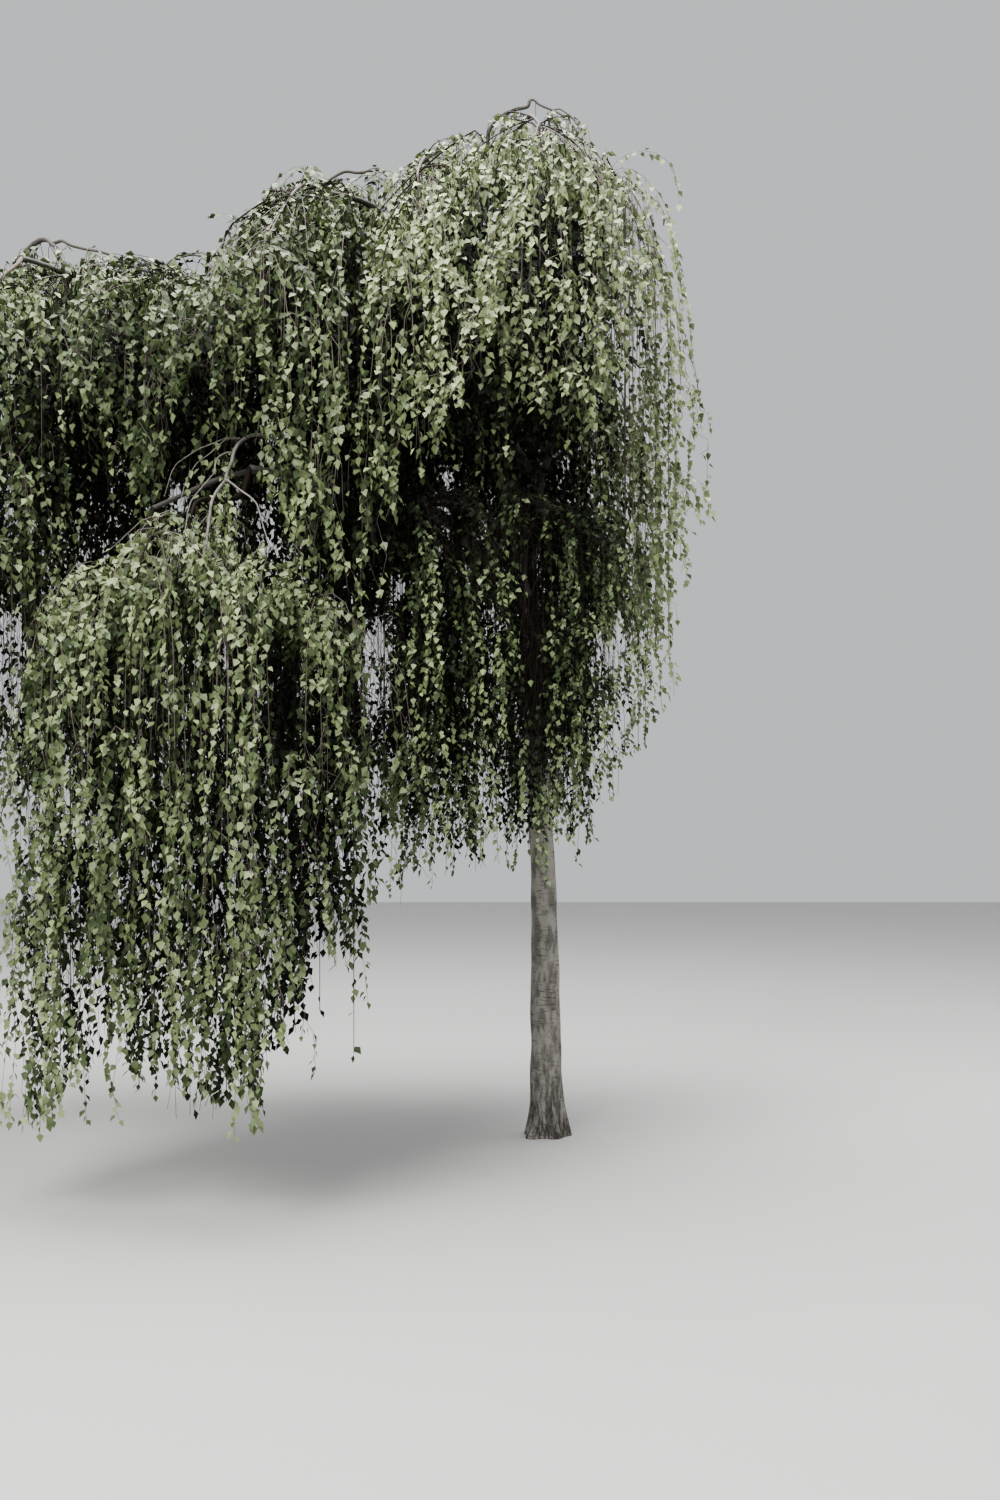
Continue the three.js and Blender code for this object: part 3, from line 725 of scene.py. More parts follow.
def new_piece(name, places, faces, materials, face_materials=None, values=None):
    """A mesh object at the origin. faces is a list of arrays, each of faces with as many corners."""
    mesh = bpy.data.meshes.new(name)
    corners = np.concatenate([f.ravel() for f in faces]).astype(np.int32)
    sizes = np.concatenate([np.full(len(f), f.shape[1]) for f in faces])
    starts = np.concatenate([[0], np.cumsum(sizes)[:-1]]).astype(np.int32)
    mesh.vertices.add(len(places))
    mesh.vertices.foreach_set("co", places.astype(np.float32).ravel())
    mesh.loops.add(len(corners))
    mesh.loops.foreach_set("vertex_index", corners)
    mesh.polygons.add(len(sizes))
    mesh.polygons.foreach_set("loop_start", starts)
    for material in materials:
        mesh.materials.append(material)
    if face_materials is not None:
        mesh.polygons.foreach_set("material_index", face_materials.astype(np.int32))
    mesh.update(calc_edges=True)
    if values is not None:
        made = mesh.attributes.new("grain", "FLOAT_VECTOR", "POINT")
        made.data.foreach_set("vector", values.astype(np.float32).ravel())
    piece = bpy.data.objects.new(name, mesh)
    bpy.context.collection.objects.link(piece)
    return piece


def smooth_shade(piece):
    piece.data.polygons.foreach_set("use_smooth", np.ones(len(piece.data.polygons), bool))
    return piece


def finished(piece, slot, *nodes):
    """The piece rides on the root body and stands for the CAD nodes. The slot is not used."""
    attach(piece, "root")
    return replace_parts(piece, *nodes)


def across_lines(lines):
    """For many lines at once: unit directions along them and two square to those. Each ring is
    turned as little as possible from the one before it."""
    along = unit(np.gradient(lines, axis=1))
    across = np.empty_like(along)
    before = np.where(np.abs(along[:, 0, 2:]) < 0.9, UP, RIGHT)
    for i in range(lines.shape[1]):
        flat = before - (before * along[:, i]).sum(1, keepdims=True) * along[:, i]
        across[:, i] = before = unit(flat)
    return along, across, np.cross(along, across)


def ring_faces(count, steps, sides):
    """Four-cornered faces between the rings of many closed tubes, and a cap at each end."""
    first = (np.arange(count) * (steps + 1) * sides)[:, None, None]
    ring = (np.arange(steps) * sides)[None, :, None]
    side = np.arange(sides)[None, None, :]
    following = (side + 1) % sides
    a = first + ring
    quads = np.stack([a + side, a + following, a + sides + following, a + sides + side], -1)
    start_caps = first[:, 0] + np.arange(sides)[::-1][None, :]
    end_caps = first[:, 0] + steps * sides + np.arange(sides)[None, :]
    return [quads.reshape(-1, 4), start_caps, end_caps]


def tubes(lines, radii, sides):
    """Places and faces of round tubes along many lines: a point at an angle stands at the radius
    from the line, in the plane square to it."""
    count, places, _ = lines.shape
    _, across, third = across_lines(lines)
    angle = np.arange(sides) * TURN / sides
    circle = (
        across[:, :, None] * np.cos(angle)[None, None, :, None]
        + third[:, :, None] * np.sin(angle)[None, None, :, None]
    )
    spots = lines[:, :, None] + circle * radii[:, :, None, None]
    return spots.reshape(-1, 3), ring_faces(count, places - 1, sides)


def run_lengths(line):
    """Lengths along a line from its start to each of its points."""
    return np.concatenate([[0], np.cumsum(np.linalg.norm(np.diff(line, axis=0), axis=1))])


def waves(grain, scale, seed, count=7):
    """Soft unevenness from -1 to 1: the mean of sine waves that cross at seeded angles."""
    total = np.zeros(grain.shape[:-1])
    for i in range(count):
        way = np.array([chance(seed, i, axis) - 0.5 for axis in (1, 2, 3)])
        slope = unit(way) * scale * (0.6 + chance(seed, i, 4))
        total += np.sin(grain @ slope + TURN * chance(seed, i, 5))
    return total / count * 1.6


def limb_surface(line, radii, sides, relief, number):
    """A tube with bark relief. grain is where a point would be if the limb were straight: its angle
    and radius across, and its length along, so that a pattern has no seam."""
    _, across, third = across_lines(line[None])
    angle = np.arange(sides) * TURN / sides
    along = run_lengths(line)
    turned = np.stack([np.cos(angle), np.sin(angle)], 1)
    grain = np.empty((len(line), sides, 3))
    grain[..., :2] = turned[None] * radii[:, None, None]
    grain[..., 2] = along[:, None]
    uneven = waves(grain * [1, 1, 0.5], FINE_WAVES, number) * relief
    uneven = uneven + waves(grain * [1, 1, 0.35], COARSE_WAVES, number + 40) * relief * 1.5
    reach = radii[:, None] + np.minimum(uneven, RELIEF_LIMIT * radii[:, None])
    circle = across[0][:, None] * turned[None, :, :1] + third[0][:, None] * turned[None, :, 1:]
    places = line[:, None] + circle * reach[..., None]
    return places, grain


# Trunk and boughs

def buttressed(places, line, radii):
    """The root flare drawn out into lobes: the flare's reach is changed by a wave round the trunk."""
    out = places - line[:, None]
    angle = np.arctan2(out[..., 1], out[..., 0])
    flare = TRUNK["flare"] * np.exp(-line[:, 2:] / TRUNK["flare_height"])
    lobes = sum(size * np.sin(count * angle + turn) for size, count, turn in LOBES)
    return line[:, None] + out * (1 + flare * lobes / radii[:, None])[..., None]


def build_limb(name, line, places, grain, material, node):
    """A limb's rings as a piece with smooth shading and its grain."""
    steps, sides = len(line) - 1, places.shape[1]
    faces = ring_faces(1, steps, sides)
    piece = new_piece(name, places.reshape(-1, 3), faces, [material], values=grain.reshape(-1, 3))
    return finished(smooth_shade(piece), "bark", node)


def build_trunk(settings, material):
    """The trunk, cut flat at ground level."""
    line, radii = grow_limbs(settings)["trunk"]
    places, grain = limb_surface(line, radii, TRUNK_SIDES, settings.relief, 1)
    places = buttressed(places, line, radii)
    places[0, :, 2] = 0
    places[:, :, 2] = np.maximum(places[:, :, 2], 0)
    build_limb("bark_trunk", line, places, grain, material, "trunk")


def build_boughs(settings, material):
    """All boughs, with 0.3 of the trunk's relief."""
    limbs = grow_limbs(settings)
    for number, name in enumerate(BOUGHS):
        line, radii = limbs[name]
        places, grain = limb_surface(line, radii, BOUGH_SIDES, 0.3 * settings.relief, number + 2)
        build_limb(f"bark_{name}", line, places, grain, material, f"bough_{name}")


def build_crests(settings, materials):
    """The bare boughs that show on the masses. The low ones have the second, paler bark; the others
    have the boughs' bark, darkened as painted shade.
    """
    limbs = grow_limbs(settings)
    for name, crests in CRESTS.items():
        material = materials[int(on_shelf(MASSES[name]))]
        for number, crest in enumerate(crests):
            line = crest_line(crest, limbs, CREST_STEPS)
            radii = tapered(line[None], crest.foot, crest.end)[0]
            places, grain = limb_surface(line, radii, CREST_SIDES, 0, number)
            piece_name = f"bark_crest_{name}_{number + 1}"
            build_limb(piece_name, line, places, grain, material, f"foliage_{name}")


# Twigs

def weeping_lines(starts, ways, hangs, mound, sag, feet, lead, over, bend, bend_steps, drop_steps):
    """Twigs that leave along their ways, arch over their hanging places on cubic curves and drop to
    their feet. They follow the surface of the mound, less a sag, where they would rise above it."""
    tops = mound_top(mound, hangs[:, 0], hangs[:, 1]) - sag
    low = np.minimum(tops, starts[:, 2] + over)
    bend_end = np.maximum(low - bend, (low + feet) / 2)
    one = starts + ways * lead
    two = np.column_stack([hangs, low + over])
    three = np.column_stack([hangs, bend_end])
    t = np.linspace(0, 1, bend_steps + 1)[None, :, None]
    curve = (
        starts[:, None] * (1 - t) ** 3 + 3 * one[:, None] * t * (1 - t) ** 2
        + 3 * two[:, None] * t ** 2 * (1 - t) + three[:, None] * t ** 3
    )
    ceiling = mound_top(mound, curve[..., 0], curve[..., 1]) - np.reshape(sag, (-1, 1))
    held = np.linspace(0, 1, bend_steps + 1) ** 0.5
    ceiling = ceiling + np.maximum(starts[:, None, 2] - ceiling[:, :1], 0) * (1 - held)
    curve[:, 1:, 2] = np.minimum(curve[:, 1:, 2], ceiling[:, 1:])
    share = np.linspace(0, 1, drop_steps + 1)[None, 1:, None]
    last = np.column_stack([hangs, feet])
    drop = three[:, None] * (1 - share) + last[:, None] * share
    return np.concatenate([curve, drop], axis=1)


def nearest_masses(x, y, low, high):
    """For places in plan, the name of the nearest mass among those whose heights meet the given ones,
    and how far outside the spreads of the nearest two the place lies."""
    near = {
        name: mass for name, mass in MASSES.items()
        if high >= mass.foot and low <= MOUNDS[mass.mound].top + CEILING
    }
    names = list(near)
    middles = np.array([(mass.x, mass.y) for mass in near.values()])
    spreads = np.array([mass.spread for mass in near.values()])
    away = np.hypot(x[:, None] - middles[:, 0], y[:, None] - middles[:, 1])
    outside = np.sort(away - spreads, axis=1)
    return np.array(names)[away.argmin(1)], outside[:, 0], outside[:, 1]


def habit(name):
    return HABITS.get(name, PLAIN_HABIT)


def mass_stem(name, limbs):
    """The stem of a mass: it carries its bough on and bends over the mass's middle."""
    mass = MASSES[name]
    carrier = next(key for key in BOUGHS if carried_mass(key) == name)
    line, radii = limbs[carrier]
    lowest = mass.foot + SPRAY_LENGTH
    stem = weeping_lines(
        line[-1:], end_direction(line)[None], np.array([[mass.x, mass.y]]), MOUNDS[mass.mound],
        habit(name).arms_lower, np.array([lowest]), STEM_LEAD, STEM_OVER, STEM_BEND, STEM_STEPS, DROP_STEPS,
    )[0]
    return stem, radii[-1]


def mass_arms(name, number, stem, count, seed):
    """The arms of a mass: twigs that leave the stem's bend for places on a sunflower's spiral."""
    mass = MASSES[name]
    mound = MOUNDS[mass.mound]
    i = np.arange(count)
    turn = i * GOLDEN_ANGLE + chance(number, seed) * TURN
    out = mass.spread * np.sqrt((i + 0.5) / count)
    hangs = np.column_stack([mass.x + out * np.cos(turn), mass.y + out * np.sin(turn)])
    key = 100 * number + i
    share = BRANCH_FROM + (BRANCH_TO - BRANCH_FROM) * chance(key, seed + 1)
    starts = point_at(stem, share * STEM_STEPS / (STEM_STEPS + DROP_STEPS))
    tops = mound_top(mound, hangs[:, 0], hangs[:, 1])
    feet = mass.foot + ARM_ENDS_OVER + RAGGED * chance(key, seed + 2) * (tops - mass.foot)
    ways = np.column_stack([hangs - starts[:, :2], np.zeros(count)])
    ways = unit(unit(ways) + UP)
    sag = habit(name).arms_lower
    return weeping_lines(
        starts, ways, hangs, mound, sag, feet, ARM_LEAD, ARM_OVER, ARM_BEND, ARM_STEPS, DROP_STEPS,
    )


def course_line(points, steps):
    """Straight runs between the points, in even steps, with their corners rounded off."""
    points = np.array(points, float)
    runs = run_lengths(points)
    at = np.linspace(0, runs[-1], steps + 1)
    line = np.column_stack([np.interp(at, runs, points[:, axis]) for axis in range(3)])
    line[1:-1] = (line[:-2] + 2 * line[1:-1] + line[2:]) / 4
    return line


def crest_line(crest, limbs, steps):
    """The line of a bare bough, from its limb if it leaves one."""
    start = [point_at(limbs[crest.limb][0], crest.at)] if crest.limb else []
    return course_line([*start, *crest.course], steps)


def mass_crests(name, limbs):
    """The bare boughs of a mass, in as many steps as its arms."""
    steps = ARM_STEPS + DROP_STEPS
    lines = [crest_line(crest, limbs, steps) for crest in CRESTS.get(name, [])]
    if name in BARE:
        limb, first, last = BARE[name]
        lines.append(point_at(limbs[limb][0], np.linspace(first, last, steps + 1)))
    return np.array(lines).reshape(-1, steps + 1, 3)


def open_side(x):
    """0 in the crown, 1 past its thin right edge, and smooth between them."""
    return smooth((x - OPEN_FROM) / OPEN_OVER)


def hanging_places(name, number, density):
    """Places on a finer spiral of the same kind, kept where this mass is the nearest in plan and
    either within its spread or between it and a neighbour. Most of those between clumps are left
    out, and part of those at the crown's right edge."""
    mass = MASSES[name]
    mound = MOUNDS[mass.mound]
    depth = mound_top(mound, mass.x, mass.y) - mass.foot
    reach = mass.spread + PAST_SPREAD
    count = int(density * habit(name).denser * (2 / depth) ** 0.6 * math.pi * reach ** 2)
    i = np.arange(count)
    turn = i * GOLDEN_ANGLE + chance(number, 8) * TURN
    out = reach * np.sqrt((i + 0.5) / count)
    x = mass.x + out * np.cos(turn) + PLACE_LUCK * (chance(number, i, 21) - 0.5)
    y = mass.y + out * np.sin(turn) + PLACE_LUCK * (chance(number, i, 22) - 0.5)
    nearest, outside, next_outside = nearest_masses(x, y, mass.foot + 0.3, mound.top - 0.3)
    ragged = 0.17 * chance(number, i, 24) - 0.05
    end = LOW_LEFT_END if name == "low_front_left" else LEFT_END
    own = (nearest == name) & ((outside < ragged) | (next_outside < PAST_SPREAD)) & (x > end)
    between = waves(np.column_stack([x, y, 0 * x]), CLUMP_WAVES, 7) < BETWEEN_CLUMPS
    thin = np.maximum(open_side(x) * OPEN_SHARE, np.where(between, BETWEEN_SHARE, 0))
    return np.column_stack([x, y])[own & (chance(number, i, 23) > thin)]


def side_twigs(strands, keys, spacing):
    """Short twigs that leave the hanging twigs to any side, arch over and hang beside them: out by
    their reach less its part times the square of the way left, down by their fall times the way
    along to the power of one and a half. Returns them and their keys."""
    runs = np.linalg.norm(np.diff(strands, axis=1), axis=2).sum(1)
    counts = np.where(keys % 1000 < STRAY_KEY, np.round(runs / spacing), 0).astype(int)
    parent = np.repeat(np.arange(len(strands)), counts)
    place = np.concatenate([np.arange(count) for count in counts])
    key = keys[parent]
    share = 0.12 + 0.8 * (place + chance(key, place, 71)) / counts[parent]
    start = np.stack([point_at(strands[i], part) for i, part in zip(parent, share)])
    turn = TURN * chance(key, place, 72)
    reach = some(SIDE_REACH, chance(key, place, 73))
    fall = some(SIDE_FALL, chance(key, place, 74))
    t = np.linspace(0, 1, SIDE_STEPS + 1)[None, :]
    out = reach[:, None] * (1 - (1 - t) ** 2)
    x = start[:, :1] + out * np.cos(turn)[:, None]
    y = start[:, 1:2] + out * np.sin(turn)[:, None]
    z = start[:, 2:] + SIDE_ARCH * np.sin(math.pi * t) - fall[:, None] * t ** 1.5
    return np.stack([x, y, z], 2), key + 0.01 * (place + 1)


def crown_axis_way(places):
    """The level direction from the crown's long axis out to each place."""
    nearest = np.column_stack([np.clip(places[:, 0], -3.0, -0.1), np.zeros(len(places))])
    return unit(places[:, :2] - nearest)


def lowest_tips(name, hangs):
    """The lower edge of a mass over places in plan: the mass's foot, raised by its habit and towards
    the right side of the crown and of the low front tier, lowered inside the crown and in the drapes
    of the front curtains, and uneven in tongues."""
    mass = MASSES[name]
    x = hangs[:, 0]
    lift = habit(name).lifted + 0.45 * smooth((x - 0.2) / 0.15) + 2.2 * np.maximum(x - 0.58, 0)
    if mass.mound == "low_shelf":
        lift = 0.1 + 0.95 * smooth((x + 1.35) / 0.6)
    plan = np.column_stack([hangs, np.zeros(len(hangs))])
    tongues = 0.32 * np.clip(waves(plan, 11, 5) + 0.1, -0.1, 1)
    drop = habit(name).inner
    if name in FRONT:
        for middle, reach, deep in DRAPES:
            drop = drop + deep * smooth(2 - 2 * np.abs(x - middle) / reach)
    return mass.foot + lift + tongues - drop


def gap_tops(hangs, starts, key):
    """For hanging twigs that start over a gap and would hang through it, a height over the gap where
    most of them end. It is under the ground for the rest."""
    scale = 1 + hangs[:, 1] / -EYE.y
    x = EYE.x + (hangs[:, 0] - EYE.x) / scale
    tops = np.full(len(hangs), -1.0)
    for gap in GAPS:
        top = EYE.z + (gap.z + gap.height * (0.8 + 0.5 * chance(key, 49)) - EYE.z) * scale
        cut = (np.abs(x - gap.x) < 0.9 * gap.width) & (starts > top + LEAST_DROP) & (hangs[:, 1] < gap.back)
        tops = np.where(cut & (chance(key, 50) < gap.share - 0.08), np.maximum(tops, top), tops)
    return tops


def on_shelf(mass):
    """Whether a mass is one of the low ones that stand forward."""
    return mass.mound in ("shelf", "low_shelf")


def mass_strands(name, number, arms, crests, density):
    """The fine hanging twigs of a mass, their keys, and the bare lengths at their starts. Each leaves a
    near arm on its bend or its drop, or a bare bough where it is nearest, swings out to its hanging
    place, and drops to a ragged foot. Only those on arms arch over. The strays of the mass follow."""
    mass = MASSES[name]
    mound = MOUNDS[mass.mound]
    hangs = hanging_places(name, number, density)
    count = len(hangs)
    arched = np.arange(len(arms) + len(crests)) < len(arms)
    arms = np.concatenate([arms, crests])
    i = np.arange(count)
    key = 1000 * number + i
    apart = np.hypot(*(hangs[:, None, None] - arms[None, :, :, :2]).transpose(3, 0, 1, 2))
    away = np.where(arched, apart[:, :, -1], apart.min(2) + BARE_SET_BACK)
    luck = SHELF_ARM_LUCK if on_shelf(mass) else ARM_LUCK
    away = away + luck * chance(key[:, None], np.arange(len(arms))[None], 31)
    arm = away.argmin(1)
    high = chance(key, 32) < HIGH_SHARE
    bend_share = ARM_STEPS / (ARM_STEPS + DROP_STEPS)
    on_bend = HIGH_FROM + (bend_share - HIGH_SHORT) * chance(key, 33)
    share = np.where(high, on_bend, bend_share + LOW_OVER * chance(key, 34))
    closest = apart[i, arm].argmin(1) / (ARM_STEPS + DROP_STEPS)
    on_bare = np.clip(closest + ALONG_BARE * (chance(key, 33) - 0.5), 0, 1)
    share = np.where(arched[arm], share, on_bare)
    starts = np.stack([point_at(arms[a], s) for a, s in zip(arm, share)])
    foot = lowest_tips(name, hangs)
    feet = foot + FEET_LUCK * chance(key, 35) ** FEET_POWER * np.maximum(starts[:, 2] - foot, 0.2)
    if mass.mound != "low_shelf":
        feet = np.maximum(feet, gap_tops(hangs, starts[:, 2], key))
    feet = np.minimum(feet, starts[:, 2] - LEAST_DROP)
    ways = np.column_stack([hangs - starts[:, :2], np.zeros(count)])
    ways = unit(unit(ways) + UP * np.where(high & arched[arm], HIGH_RISE, LOW_RISE)[:, None])
    sag = habit(name).lower + SAG_LUCK * chance(key, 38)
    bend = some(SHELF_BEND if on_shelf(mass) else BEND, chance(key, 39))
    over = np.where(arched[arm], STRAND_OVER, 0)
    if mass.mound == "low_shelf":
        sag = sag + LOW_TIER_SAG * chance(key, 48) ** 2
    lines = weeping_lines(
        starts, ways, hangs, mound, sag, feet, STRAND_LEAD, over, bend, STRAND_STEPS, STRAND_DROP,
    )
    for axis in (0, 1):
        sway = (chance(key[:, None], np.arange(STRAND_DROP)[None], 36 + 4 * axis) - 0.5) * SWAY
        lines[:, -STRAND_DROP:, axis] += sway
    kept = (mound_top(mound, hangs[:, 0], hangs[:, 1]) - mass.foot) > SHORTEST_DROP
    strays = [course_line(points, STRAND_STEPS + STRAND_DROP) for points in STRAYS.get(name, [])]
    strays = np.array(strays).reshape(-1, STRAND_STEPS + STRAND_DROP + 1, 3)
    keys = np.concatenate([key[kept], 1000 * number + STRAY_KEY + np.arange(len(strays))])
    bare = np.where(arched[arm], BARE_STRAND, BARE_ON_BOUGH)[kept]
    bare = np.concatenate([bare, np.full(len(strays), BARE_SIDE)])
    return np.concatenate([lines[kept], strays]), keys, bare


def tapered(lines, foot, end):
    """Radii that change evenly along each line."""
    share = np.linspace(0, 1, lines.shape[1])[None]
    return np.broadcast_to(foot + (end - foot) * share, lines.shape[:2])


def grow_mass(name, number, limbs, twigs):
    """All twigs of a mass: groups of lines with their radii, the keys of hanging and side twigs, and
    the bare lengths at the start of arms, hanging twigs and side twigs."""
    mass = MASSES[name]
    stem, stem_foot = mass_stem(name, limbs)
    main = mass_arms(name, number, stem, mass.arms, 1)
    more = mass_arms(name, number + 40, stem, 0 if on_shelf(mass) else MORE_ARMS, 5)
    crests = mass_crests(name, limbs)
    arms = np.concatenate([main, more])
    strands, keys, bare = mass_strands(name, number, arms, crests, twigs.density)
    sides, side_keys = side_twigs(strands, keys, twigs.side_spacing)
    radii = [tapered(main, twigs.arm_foot, twigs.arm_end), tapered(more, 0.7 * twigs.arm_foot, twigs.arm_end)]
    bare_arm = BARE_LOW_ARM if on_shelf(mass) else BARE_ARM
    return {
        "stem": (stem[None], tapered(stem[None], stem_foot, twigs.arm_end)),
        "arms": (arms, np.concatenate(radii)),
        "strands": (strands, tapered(strands, twigs.foot, twigs.end)),
        "sides": (sides, tapered(sides, 0.6 * twigs.foot, twigs.end)),
        "keys": keys,
        "side_keys": side_keys,
        "bare": np.concatenate([np.full(len(arms), bare_arm), bare, np.full(len(sides), BARE_SIDE)]),
    }


def grow_crown(bark, twigs):
    """The twigs of all masses, and how far inside the crown each of their lines hangs."""
    limbs = grow_limbs(bark)
    crown = {name: grow_mass(name, number, limbs, twigs) for number, name in enumerate(MASSES, 1)}
    ends = np.concatenate([grown["strands"][0][:, -1] for grown in crown.values()])
    tops = np.concatenate([grown["strands"][0][:, :, 2].max(1) for grown in crown.values()])
    for grown in crown.values():
        groups = (grown["arms"][0], grown["strands"][0], grown["sides"][0])
        grown["inside"] = np.concatenate([covered(lines, ends, tops) for lines in groups])
    return crown


def covered(lines, ends, tops):
    """Near the top, at the middle and near the foot of each line, 0 with no hanging twig before it
    and 1 with many. Before it means further out from the crown's long axis, within a reach, and
    not far to the side."""
    places = lines[:, -1]
    high, low = lines[:, :, 2].max(1), places[:, 2]
    out = crown_axis_way(places)
    apart = ends[None, :, :2] - places[:, None, :2]
    ahead = (apart * out[:, None]).sum(2)
    aside = np.abs(apart[..., 0] * out[:, None, 1] - apart[..., 1] * out[:, None, 0])
    near = (ahead > 0.05) & (ahead < SHADE_REACH) & (aside < SHADE_ASIDE)
    counts = []
    for share in LOOKED_AT:
        height = (high + (low - high) * share)[:, None]
        counts.append((near & (ends[None, :, 2] < height) & (tops[None] > height)).sum(1))
    return np.clip(np.stack(counts, 1) / SHADE_TWIGS, 0, 1)


def joined(parts):
    """One set of places and faces from several."""
    places = np.concatenate([p for p, _ in parts])
    faces = []
    first = 0
    for p, groups in parts:
        faces += [group + first for group in groups]
        first += len(p)
    return places, faces


def build_twigs(bark, twigs, materials):
    """The twigs of each mass as one piece, with the second material, a painted shade, on those that
    hang in shade: inside the crown, on the right low masses, and on the stems and arms of all low masses."""
    for name, grown in grow_crown(bark, twigs).items():
        parts = []
        face_materials = []
        before = 0
        for kind, sides in TWIG_SIDES.items():
            lines = grown[kind][0]
            parts.append(tubes(*grown[kind], sides))
            thick = kind in ("stem", "arms")
            all_in_shade = MASSES[name].mound == "shelf" or (thick and on_shelf(MASSES[name]))
            shaded = np.full(len(lines), int(all_in_shade))
            if kind != "stem":
                inside = grown["inside"][before:before + len(lines)].mean(1)
                shaded = np.maximum(shaded, inside > SHADE_FROM)
                before += len(lines)
            face_materials += [np.repeat(shaded, (lines.shape[1] - 1) * sides), shaded, shaded]
        places, faces = joined(parts)
        piece = new_piece(f"twigs_{name}", places, faces, materials, np.concatenate(face_materials))
        finished(smooth_shade(piece), "bark", f"foliage_{name}")


# Leaves

# Outlines as shares of a leaf's length and width: the blade's base, round by its tip, and then the
# stalk's two corners. Under them are their faces.
BLADE = np.array([
    [0.24, 0], [0.44, 0.5], [0.66, 0.35], [1, 0], [0.66, -0.35], [0.44, -0.5], [0, 0], [0.25, 0.05],
])
BLADE_FACES = np.array([[0, 5, 4], [0, 4, 3], [0, 3, 2], [0, 2, 1], [6, 0, 7]])
PLAIN_BLADE = np.array([[0.1, 0], [0.48, 0.5], [1, 0], [0.48, -0.5]])
PLAIN_FACES = np.array([[0, 3, 2], [0, 2, 1]])


def leaf_places(mass, grown, spacing):
    """Places of leaves along the twigs of a mass, evenly by length after a bare start. They are
    left out in short lengths of a twig, in soft waves through the mass, high on the crown's right
    edge, in the gaps and over the low bare boughs. Columns: the place, the twig's key, the length
    along it, how far inside the crown it is, and how level the twig is there."""
    arms, strands, sides = (grown[kind][0] for kind in ("arms", "strands", "sides"))
    lines = [*arms, *strands, *sides]
    keys = [*(ARM_KEY + np.arange(len(arms))), *grown["keys"], *grown["side_keys"]]
    found = []
    for i, (line, key) in enumerate(zip(lines, keys)):
        inside = grown["inside"][i]
        high, low = line[:, 2].max(), line[-1, 2]
        runs = run_lengths(line)
        stray = key % 1000 >= STRAY_KEY
        first = grown["bare"][i] * (0.4 + 1.2 * chance(key, 41))
        step = spacing * SMALLER.get(mass.mound, 1) * (1.3 if stray else 1 + 0.35 * inside.mean())
        at = np.arange(first, runs[-1], step)
        at = at + step * 0.6 * (chance(key, np.arange(len(at)), 42) - 0.5)
        places = np.column_stack([np.interp(at, runs, line[:, axis]) for axis in range(3)])
        level = 1 - np.abs(np.interp(at, runs, np.gradient(line[:, 2], runs)))
        cover = np.interp((high - places[:, 2]) / max(high - low, 0.01), LOOKED_AT, inside)
        found.append(np.column_stack([places, np.full(len(at), key), at, cover, level]))
    found = np.concatenate(found)
    gap = chance(found[:, 3], np.floor(found[:, 4] / BARE_LENGTH), 43) < BARE_LENGTH_SHARE
    thin = open_side(found[:, 0]) * smooth((found[:, 2] - 3.9) / 0.5)
    sparse = chance(np.arange(len(found)), 44) < OPEN_SHARE * thin
    loose = waves(found[:, :3] * [1, 1, 0.45], LOOSE_WAVES, 6) < LOOSE_UNDER
    sparse = sparse | (loose & (chance(np.arange(len(found)), 45) < LOOSE_SHARE))
    stray = found[:, 3] % 1000 >= STRAY_KEY
    return found[(stray | ~(gap | sparse)) & ~in_gaps(found) & ~over_crests(found)]


def seen_from_eye(places):
    """Where the lines of sight to places meet the plane of the trunk."""
    scale = 1 - places[:, 1] / EYE.y
    x = EYE.x + (places[:, 0] - EYE.x) / scale
    return np.column_stack([x, EYE.z + (places[:, 2] - EYE.z) / scale])


def over_crests(found):
    """Which leaves are left out so that the low bare boughs can be seen."""
    line = np.concatenate([
        course_line(crest.course, 40) for name, crests in CRESTS.items() if on_shelf(MASSES[name])
        for crest in crests
    ])
    places, seen = seen_from_eye(found), seen_from_eye(line)
    apart = np.hypot(places[:, :1] - seen[None, :, 0], places[:, 1:] - seen[None, :, 1])
    before = found[:, 1] < line[apart.argmin(1), 1] + 0.02
    near = (apart.min(1) < CLEAR_OF_CRESTS) & before
    return near & (chance(np.arange(len(found)), 47) < CLEAR_SHARE)


def in_gaps(found):
    """Which leaves are left out for the gaps: those whose line of sight passes inside a gap's ellipse,
    which waves make ragged, by the gap's share."""
    x, z = seen_from_eye(found).T
    edge = 1 + GAP_RAGGED * waves(found[:, :3], GAP_WAVES, 8)
    luck = chance(np.arange(len(found)), 46)
    out = np.zeros(len(found), bool)
    for gap in GAPS:
        within = np.hypot((x - gap.x) / gap.width, (z - gap.z) / gap.height) < edge
        out |= within & (luck < gap.share) & (found[:, 1] < gap.back)
    return out


def blades(outline, roots, ways, facings, lengths, widths, fold):
    """Folded blades. A corner stands at a share of the length along the way and at a share of the
    width to the side; the sides are lifted by the fold and the tip bends back."""
    side = np.cross(facings, ways)
    along = outline[None, :, :1] * lengths[:, None, None]
    out = outline[None, :, 1:] * widths[:, None, None]
    lift = np.abs(out) * 2 * fold - TIP_BACK * along * outline[None, :, :1]
    return roots[:, None] + ways[:, None] * along + side[:, None] * out + facings[:, None] * lift


def crown_top(x, y):
    """The highest of the mounds over places in plan, among those whose reach covers them."""
    best = np.zeros(len(x))
    for mound in MOUNDS.values():
        top = mound_top(mound, x, y)
        best = np.maximum(best, np.where(top >= mound.top - mound.sink, top, 0))
    return best


